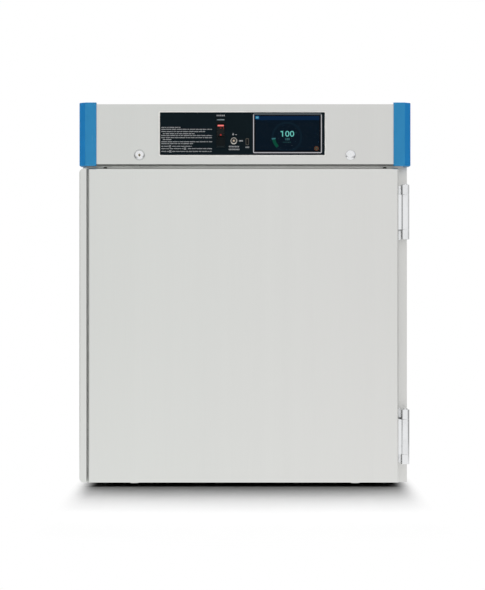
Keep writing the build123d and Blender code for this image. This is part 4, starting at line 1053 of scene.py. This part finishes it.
class WARMING_CABINET_OT_switches(bpy.types.Operator):
    """Give the power rocker its lamp and marks, the switch's frame its painted highlights, and the port its
    shell with painted shade in its opening
    """

    bl_idname = "warming_cabinet.switches"
    bl_label = "Switches"

    def execute(self, context):
        self.rocker()
        self.switch()
        self.port()
        return {"FINISHED"}

    @staticmethod
    def rocker():
        """The lit stripe, its edge, the mark for on and the mark for off."""
        spot = middle("power_rocker")
        upper = face_plane("power_rocker", spot.x, spot.z + ROCKER_FACE)
        lower = face_plane("power_rocker", spot.x, spot.z - ROCKER_FACE)
        lamp = print_ink("rocker_lamp", (1.0, 0.21, 0.19), glow=1.0)
        dot = print_ink("rocker_dot", (0.62, 0.035, 0.025), glow=1.0)
        dim = print_ink("rocker_glow", (0.2, 0.012, 0.01), glow=1.0)
        parts = [
            (drawn([box_outline(-7.2, 7.2, 0.8, 4.3, 0.8)], 0.16, upper), lamp),
            (drawn([box_outline(6.3, 7.3, -6.6, 0.1)], 0.12, upper), dim),
            (drawn([box_outline(-1.6, 1.8, -4.6, -2.4)], 0.12, upper), dim),
            (drawn([disc_outline(0.2, -4.4, 1.8), disc_outline(0.2, -4.4, 0.9)], 0.12, lower), dot),
        ]
        piece("rocker_marks", "power_rocker", "rocker_plastic", parts)

    @staticmethod
    def switch():
        """Painted highlights on the switch's frame: a pale line along its top edge over the rocker, and a
        fainter one along its bottom edge under it.
        """
        top = edges("power_switch_body")[3]
        plane = front_plane(middle("power_rocker").x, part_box("power_switch_body")[0].y, 0.0)
        # Painted highlights: the pale line and the dimmer dark line stand for light caught by the frame's
        # top and bottom edges
        pale = print_ink("switch_highlight", (0.24, 0.3, 0.33))
        dark = print_ink("switch_line", (0.018, 0.03, 0.034))
        parts = [
            (drawn([box_outline(-8.8, 8.8, top - 3.4, top - 1.2, 0.9)], 0.3, plane), pale),
            (drawn([box_outline(-8.6, 8.6, top - 64.6, top - 63.4, 0.5)], 0.3, plane), dark),
        ]
        piece("switch_painted_highlights", "cabinet", "black_plastic", parts)

    @staticmethod
    def port():
        """The port's shell, and a near-black plate of painted shade over its opening."""
        spot = middle("usb_port")
        plane = front_plane(spot.x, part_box("usb_port")[0].y, spot.z)
        shell = bright_chrome("port_shell", (0.12, 0.115, 0.1), 0.35)
        # Painted shade: the near-black plate stands for the shade inside the port's opening
        hollow = print_ink("port_hollow", (0.001, 0.0015, 0.002))
        rim = [box_outline(-3.6, 3.6, -7.6, 7.6, 1.6), box_outline(-2.7, 2.7, -6.6, 6.6, 1.0)]
        slot = [box_outline(-2.8, 2.8, -6.7, 6.7, 1.0)]
        parts = [(drawn(rim, 0.2, plane), shell), (drawn(slot, 0.1, plane), hollow)]
        piece("port_trim", "cabinet", "chrome", parts)


# Fasteners


class CabinetScrews(bpy.types.PropertyGroup):
    """The cross-headed screws of the covers and hinges."""

    head_radius: length("Head radius", "Of each screw's head", 4.0 * MM)
    head_height: length("Head height", "From the seat to the top of the head", 2.0 * MM)
    shank_radius: length("Shank radius", "Of each screw's thread", 1.9 * MM)
    shank_length: length("Shank length", "Of the thread under the head", 4.0 * MM)


# Shares of the head's radius or height
HEAD_TAPER = 0.22
CROSS_LENGTH = 1.15
CROSS_WIDTH = 0.24
CROSS_RISE = 0.62


def screw_tree(material, screws):
    """A cross-headed screw on every point: a head that narrows, a cross in it and a shank."""
    tree = Shape(
        "cross_headed_screw",
        facing=(0.0, 0.0, 0.0),
        head_radius=screws.head_radius,
        head_height=screws.head_height,
        shank_radius=screws.shank_radius,
        shank_length=screws.shank_length,
    )
    radius = tree.size("head_radius")
    height = tree.size("head_height")
    reach = tree.size("shank_length")
    head = tree.add(
        "GeometryNodeMeshCylinder",
        {"fill_type": "NGON"},
        {"Vertices": 28, "Side Segments": 2, "Radius": radius, "Depth": height},
    )
    spot = tree.add("GeometryNodeInputPosition")
    rise = tree.add("ShaderNodeSeparateXYZ", inputs={0: spot}, output="Z")
    above = rise.math("GREATER_THAN", rise, height * 0.25)
    taper = (-HEAD_TAPER, -HEAD_TAPER, 0.0)
    inward = tree.add("ShaderNodeVectorMath", {"operation": "MULTIPLY"}, {0: spot, 1: taper})
    inputs = {"Geometry": head, "Selection": above, "Offset": inward}
    head = tree.add("GeometryNodeSetPosition", inputs=inputs)
    arms = []
    for wide, deep in ((CROSS_LENGTH, CROSS_WIDTH), (CROSS_WIDTH, CROSS_LENGTH)):
        size = tree.vector(radius * wide, radius * deep, height)
        arm = tree.add("GeometryNodeMeshCube", inputs={"Size": size})
        arms.append(tree.moved(arm, tree.vector(z=height * CROSS_RISE)))
    cut = {"operation": "DIFFERENCE", "solver": "EXACT"}
    head = tree.add("GeometryNodeMeshBoolean", cut, {"Mesh 1": head, "Mesh 2": arms})
    head = tree.moved(head, tree.vector(z=height * 0.5))
    thread = {"Vertices": 12, "Radius": tree.size("shank_radius"), "Depth": reach}
    shank = tree.add("GeometryNodeMeshCylinder", inputs=thread)
    shank = tree.moved(shank, tree.vector(z=reach * -0.5))
    return tree.close(tree.on_points(tree.joined([head, shank])), material)


# The node, its body, the axis that its heads face along, their way on it, and how a screw is turned
SCREW_GROUPS = (
    ("cover_screws", "cabinet", 1, 1, (-math.pi / 2, 0.0, 0.0)),
    ("hinge_screws_frame", "cabinet", 1, -1, (math.pi / 2, 0.0, 0.0)),
    ("hinge_screws_door", "door", 0, 1, (0.0, math.pi / 2, 0.0)),
)


class WARMING_CABINET_OT_screws(bpy.types.Operator):
    """Put a cross-headed screw wherever the model has a plain one"""

    bl_idname = "warming_cabinet.screws"
    bl_label = "Screws"

    def execute(self, context):
        sizes = context.scene.cabinet_screws
        tree = screw_tree(bright_chrome("screw_steel", (0.62, 0.62, 0.61), 0.25), sizes)
        for node, body, axis, way, facing in SCREW_GROUPS:
            seats = []
            for low, high in solid_boxes(node):
                seat = (low + high) / 2
                seat[axis] = high[axis] - sizes.head_height if way > 0 else low[axis] + sizes.head_height
                seats.append(tuple(seat))
            screws = tree.grow(f"{node}_cross_headed", seats, facing=facing)
            settle(screws, body, "steel_fasteners", node)
        return {"FINISHED"}


# Door seal


class CabinetSeal(bpy.types.PropertyGroup):
    """The door seal's section."""

    base_width: length("Base width", "Of the strip on the door", 22.0 * MM)
    base_depth: length("Base depth", "Of the strip on the door", 2.4 * MM)
    bulb_width: length("Bulb width", "Of the part that the frame presses on", 14.0 * MM)
    corner: length("Corner", "Radius of the seal's line at its corners", 16.0 * MM)


def seal_tree(material, seal):
    """A hollow-looking seal along a rectangle with round corners: a base, a neck, a bulb and two lips."""
    tree = Shape(
        "door_seal",
        facing=(math.pi / 2, 0.0, 0.0),
        middle=(0.0, 0.0, 0.0),
        width=0.67,
        height=0.648,
        corner=seal.corner,
        base_width=seal.base_width,
        base_depth=seal.base_depth,
        bulb_width=seal.bulb_width,
        depth=11.7 * MM,
    )
    base_wide = tree.size("base_width")
    base_deep = tree.size("base_depth")
    bulb_wide = tree.size("bulb_width")
    depth = tree.size("depth")
    path = tree.rounded(tree.size("width"), tree.size("height"), tree.size("corner"), 8)
    bulb_deep = depth - base_deep * 1.6
    # Each strand: its width and depth, how far aside and out it lies, and its roundness
    strands = (
        (base_wide, base_deep, 0.0, base_deep * 0.5, 0.45),
        (bulb_wide * 0.62, base_deep * 1.6, 0.0, base_deep * 1.2, 0.2),
        (bulb_wide, bulb_deep, 0.0, depth - bulb_deep * 0.5, 0.42),
        (base_deep * 0.9, base_deep * 1.3, base_wide * 0.46, base_deep * 0.9, 0.45),
        (base_deep * 0.9, base_deep * 1.3, base_wide * -0.46, base_deep * 0.9, 0.45),
    )
    swept = []
    for wide, deep, aside, rise, share in strands:
        profile = tree.moved(tree.rounded(wide, deep, deep * share, 4), tree.vector(aside, rise))
        inputs = {"Curve": path, "Profile Curve": profile}
        swept.append(tree.add("GeometryNodeCurveToMesh", inputs=inputs))
    seal = tree.joined(swept)
    inputs = {"Geometry": seal, "Translation": tree.size("middle"), "Rotation": tree.size("facing")}
    return tree.close(tree.add("GeometryNodeTransform", inputs=inputs), material)


class WARMING_CABINET_OT_seal(bpy.types.Operator):
    """Run the rubber seal round the door's inner face"""

    bl_idname = "warming_cabinet.seal"
    bl_label = "Door seal"

    def execute(self, context):
        rubber = soft_rubber("seal_rubber", (0.2, 0.21, 0.22))
        low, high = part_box("door_gasket")
        sizes = context.scene.cabinet_seal
        base = sizes.base_width
        tree = seal_tree(rubber, sizes)
        seal = tree.grow(
            "door_seal",
            [(0.0, 0.0, 0.0)],
            middle=((low.x + high.x) / 2, low.y, (low.z + high.z) / 2),
            width=high.x - low.x - base,
            height=high.z - low.z - base,
            depth=high.y - low.y,
        )
        for polygon in seal.data.polygons:
            polygon.use_smooth = True
        settle(seal, "door", "gasket_rubber", "door_gasket")
        return {"FINISHED"}


# Glass wool


class CabinetWool(bpy.types.PropertyGroup):
    """How rough the glass wool batts are."""

    grid: length("Grid", "Distance between the batts' points", 15.0 * MM)
    sink: length("Sink", "How far the surface dips between tufts", 3.5 * MM)


# Waves in a metre and share of each noise that makes the tufts, and how evenly the surface dips
TUFTS = ((38.0, 0.6), (90.0, 0.4))
EVEN_DIP = 0.55
WOOL_NODES = (("insulation_wrap", "cabinet"), ("insulation_rear", "cabinet"), ("door_insulation", "door"))


def wool_batt(node, material, wool):
    """A node's block as soft wool: its faces cut into an even grid that dips between tufts."""
    shape = body_mesh(node)
    bmesh.ops.dissolve_limit(shape, angle_limit=0.01, verts=shape.verts, edges=shape.edges)
    low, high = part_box(node)
    for axis in range(3):
        across = Vector(float(other == axis) for other in range(3))
        for step in range(1, int((high[axis] - low[axis]) / wool.grid)):
            everything = shape.verts[:] + shape.edges[:] + shape.faces[:]
            place = low + across * wool.grid * step
            bmesh.ops.bisect_plane(shape, geom=everything, plane_co=place, plane_no=across, dist=1e-5)
    bmesh.ops.triangulate(shape, faces=shape.faces)
    bmesh.ops.recalc_face_normals(shape, faces=shape.faces)
    shape.normal_update()
    sinks = []
    for vertex in shape.verts:
        tuft = sum(share * noise.noise(vertex.co * waves) for waves, share in TUFTS)
        sinks.append(vertex.normal * wool.sink * (EVEN_DIP + (1 - EVEN_DIP) * tuft))
    for vertex, sink in zip(shape.verts, sinks):
        vertex.co -= sink
    for face in shape.faces:
        face.smooth = True
    obj = put(f"{node}_wool", as_mesh(f"{node}_wool", shape))
    dress(obj, material)
    return obj


class WARMING_CABINET_OT_wool(bpy.types.Operator):
    """Fill the walls and the door with glass wool"""

    bl_idname = "warming_cabinet.wool"
    bl_label = "Glass wool"

    def execute(self, context):
        material = glass_wool("glass_wool", context.scene.cabinet_finishes.wool)
        for node, body in WOOL_NODES:
            settle(wool_batt(node, material, context.scene.cabinet_wool), body, "insulation", node)
        return {"FINISHED"}


# Studio


class CabinetStudio(bpy.types.PropertyGroup):
    """Camera and light."""

    distance: length("Camera distance", "From the camera to the cabinet's front", 5.0)
    height: length("Camera height", "Of the camera above the floor", 0.446)
    pixel: length("Pixel", "Width of one pixel on the cabinet's front", 0.00232)
    ambient: bpy.props.FloatProperty(
        name="Ambient", description="Light from all round", min=0.0, max=2.0, default=0.18
    )
    overhead: power("Overhead", "Power of the light above", 238.0)
    fill: power("Fill", "Power of each light beside the camera", 85.0)


IMAGE_SIZE = (485, 590)
IMAGE_MIDDLE_X = 245.0
SENSOR = 36.0
WHITE = (1.0, 1.0, 1.0)
# The light above: where it hangs, what it faces and its size
OVERHEAD = ((0.0, 1.1, 5.0), (0.0, 1.1, 0.0), (1.5, 2.9))
# The lights at both sides: their share of the power, where they stand and their size; they face the heart
FILLS = (
    ("front_fill", 1.0, (3.0, -5.0, 0.6), (2.2, 0.9)),
    ("rear_fill", 0.7, (3.0, 5.0, 0.8), (2.2, 1.0)),
)
HEART = (0.0, 0.0, 0.45)
# How much the reflections dim at each side, and where: the sky's band by its direction, the floor in metres
SIDE_DIM = 0.6
BAND_START = (0.46, 0.6)
BAND_END = (0.9, 0.98)
BAND_TOP = (0.08, 0.28)
DIM_BESIDE = (0.9, 1.5)
# The floor: its radius, how bright it is to the eye and to other surfaces, and its contact shadow's reach
FLOOR_RADIUS = 12.0
FLOOR_TO_EYE = 1.07
FLOOR_TONE = 0.78
SHADOW_REACH = 0.35
# Metres from the middle where the floor turns white, and metres past the cabinet's side where it does
WHITE_AWAY = (0.95, 1.5)
WHITE_BESIDE = (-0.038, 0.018)


def camera(studio):
    """A level camera that frames the front as wide as the photograph does."""
    data = bpy.data.cameras.new("camera")
    data.sensor_width = SENSOR
    data.lens = SENSOR * studio.distance / (IMAGE_SIZE[1] * studio.pixel)
    data.clip_end = 60.0
    obj = put("camera", data)
    aside = (IMAGE_SIZE[0] / 2 - IMAGE_MIDDLE_X) * studio.pixel
    obj.location = (aside, cad_box[0].y - studio.distance, studio.height)
    obj.rotation_euler = (math.pi / 2, 0.0, 0.0)
    bpy.context.scene.camera = obj


def area_light(name, energy, place, target, size):
    """A soft panel of light that faces a target."""
    data = bpy.data.lights.new(name, "AREA")
    data.energy = energy
    data.shape = "RECTANGLE"
    data.size, data.size_y = size
    obj = put(name, data)
    obj.location = place
    obj.rotation_euler = (Vector(target) - Vector(place)).to_track_quat("-Z", "Y").to_euler()
    obj.visible_camera = False
    obj.visible_glossy = False


def seen_directly(tree):
    """1 for rays from the camera, and for gloss and glass that the camera sees, otherwise 0."""
    names = ("Is Camera Ray", "Is Glossy Ray", "Is Transmission Ray", "Diffuse Depth")
    camera_ray, glossy, through, depth = (tree.add("ShaderNodeLightPath", output=name) for name in names)
    first = 1.0 - depth.rise(0.25, 0.75)
    return camera_ray.larger(glossy.larger(through) * first)


def white_world(studio):
    """White to the eye and in reflections but for a dim band at each side, and plain ambient light."""
    scene = bpy.context.scene
    scene.world = scene.world or bpy.data.worlds.new("studio")
    tree = Tree(scene.world)
    tree.nodes.clear()
    by_eye = tree.add("ShaderNodeLightPath", output="Is Camera Ray")
    direction = tree.add("ShaderNodeTexCoord", output="Generated")
    aside = abs(tree.add("ShaderNodeSeparateXYZ", inputs={0: direction}))
    rise = tree.add("ShaderNodeSeparateXYZ", inputs={0: direction}, output="Z")
    band = aside.rise(*BAND_START) * (1.0 - aside.rise(*BAND_END)) * (1.0 - rise.rise(*BAND_TOP))
    shown = seen_directly(tree)
    strength = shown * (1.0 - band * (1.0 - by_eye) * SIDE_DIM) + (1.0 - shown) * studio.ambient
    color = tree.shade(WHITE, strength)
    background = tree.add("ShaderNodeBackground", inputs={"Color": color, "Strength": 1.0})
    tree.add("ShaderNodeOutputWorld", inputs={"Surface": background})


def floor():
    """A round pale floor that shows white to the eye, and keeps the cabinet's shadow."""
    shape = bmesh.new()
    bmesh.ops.create_circle(shape, cap_ends=True, radius=FLOOR_RADIUS, segments=96)
    obj = put("floor", as_mesh("floor", shape))
    tree = Tree(bpy.data.materials.new("floor"))
    tree.nodes.clear()
    shown = seen_directly(tree)
    by_eye = tree.add("ShaderNodeLightPath", output="Is Camera Ray")
    grain = tree.noise(14.0, detail=3.0)
    # Painted shadow: ambient occlusion darkens the floor's colour near the cabinet for rays from the eye
    close = tree.add("ShaderNodeAmbientOcclusion", {"samples": 8}, {"Distance": SHADOW_REACH}, "AO")
    level = (FLOOR_TONE + by_eye * (FLOOR_TO_EYE * close - FLOOR_TONE)) * (0.995 + grain * 0.01)
    color = tree.shade(WHITE, level)
    diffuse = tree.add("ShaderNodeBsdfDiffuse", inputs={"Color": color})
    spot = tree.add("ShaderNodeTexCoord", output="Object")
    away = tree.add("ShaderNodeVectorMath", {"operation": "LENGTH"}, {0: spot}, "Value")
    aside = abs(tree.axis("X"))
    dim = aside.rise(*DIM_BESIDE) * (1.0 - by_eye) * SIDE_DIM
    glow = tree.shade(WHITE, 1.0 - dim)
    white = tree.add("ShaderNodeEmission", inputs={"Color": glow, "Strength": 1.0})
    beside = aside.rise(*(cad_box[1].x + past for past in WHITE_BESIDE))
    bare = away.rise(*WHITE_AWAY).larger(beside).larger(1.0 - by_eye) * shown
    above = tree.add("ShaderNodeMixShader", inputs={0: bare, 1: diffuse, 2: white})
    under = tree.add("ShaderNodeNewGeometry", output="Backfacing")
    nothing = tree.add("ShaderNodeBsdfTransparent")
    surface = tree.add("ShaderNodeMixShader", inputs={0: under, 1: above, 2: nothing})
    tree.add("ShaderNodeOutputMaterial", inputs={"Surface": surface})
    dress(obj, tree.owner)


class WARMING_CABINET_OT_studio(bpy.types.Operator):
    """Build the camera, the lights and the floor"""

    bl_idname = "warming_cabinet.studio"
    bl_label = "Studio"

    def execute(self, context):
        studio = context.scene.cabinet_studio
        context.scene.view_settings.view_transform = "Standard"
        camera(studio)
        white_world(studio)
        floor()
        area_light("overhead", studio.overhead, *OVERHEAD)
        for side in (-1, 1):
            for name, share, (x, y, z), size in FILLS:
                area_light(f"{name}_{side + 1}", studio.fill * share, (side * x, y, z), HEART, size)
        return {"FINISHED"}


class WARMING_CABINET_PT_panel(bpy.types.Panel):
    """Warming cabinet"""

    bl_label = "Warming cabinet"
    bl_space_type = "VIEW_3D"
    bl_region_type = "UI"
    bl_category = "Warming cabinet"

    def draw(self, context):
        for name in GROUPS:
            group = getattr(context.scene, name)
            box = self.layout.box()
            for setting in group.__annotations__:
                box.prop(group, setting)
        for operator in OPERATORS:
            self.layout.operator(operator.bl_idname)


GROUPS = {
    "cabinet_finishes": CabinetFinishes,
    "cabinet_label": CabinetLabel,
    "cabinet_screws": CabinetScrews,
    "cabinet_seal": CabinetSeal,
    "cabinet_wool": CabinetWool,
    "cabinet_studio": CabinetStudio,
}
OPERATORS = (
    WARMING_CABINET_OT_studio,
    WARMING_CABINET_OT_finishes,
    WARMING_CABINET_OT_label,
    WARMING_CABINET_OT_screen,
    WARMING_CABINET_OT_switches,
    WARMING_CABINET_OT_screws,
    WARMING_CABINET_OT_seal,
    WARMING_CABINET_OT_wool,
)


def register():
    """Register the groups, the operators and the panel."""
    for name, group in GROUPS.items():
        bpy.utils.register_class(group)
        setattr(bpy.types.Scene, name, bpy.props.PointerProperty(type=group))
    for operator in OPERATORS:
        bpy.utils.register_class(operator)
    bpy.utils.register_class(WARMING_CABINET_PT_panel)


def unregister():
    """Take back what register did."""
    bpy.utils.unregister_class(WARMING_CABINET_PT_panel)
    for operator in reversed(OPERATORS):
        bpy.utils.unregister_class(operator)
    for name, group in GROUPS.items():
        delattr(bpy.types.Scene, name)
        bpy.utils.unregister_class(group)


def main():
    """Build the looks in order."""
    register()
    for operator in OPERATORS:
        group, name = operator.bl_idname.split(".")
        getattr(getattr(bpy.ops, group), name)()


if __name__ == "__main__":
    main()
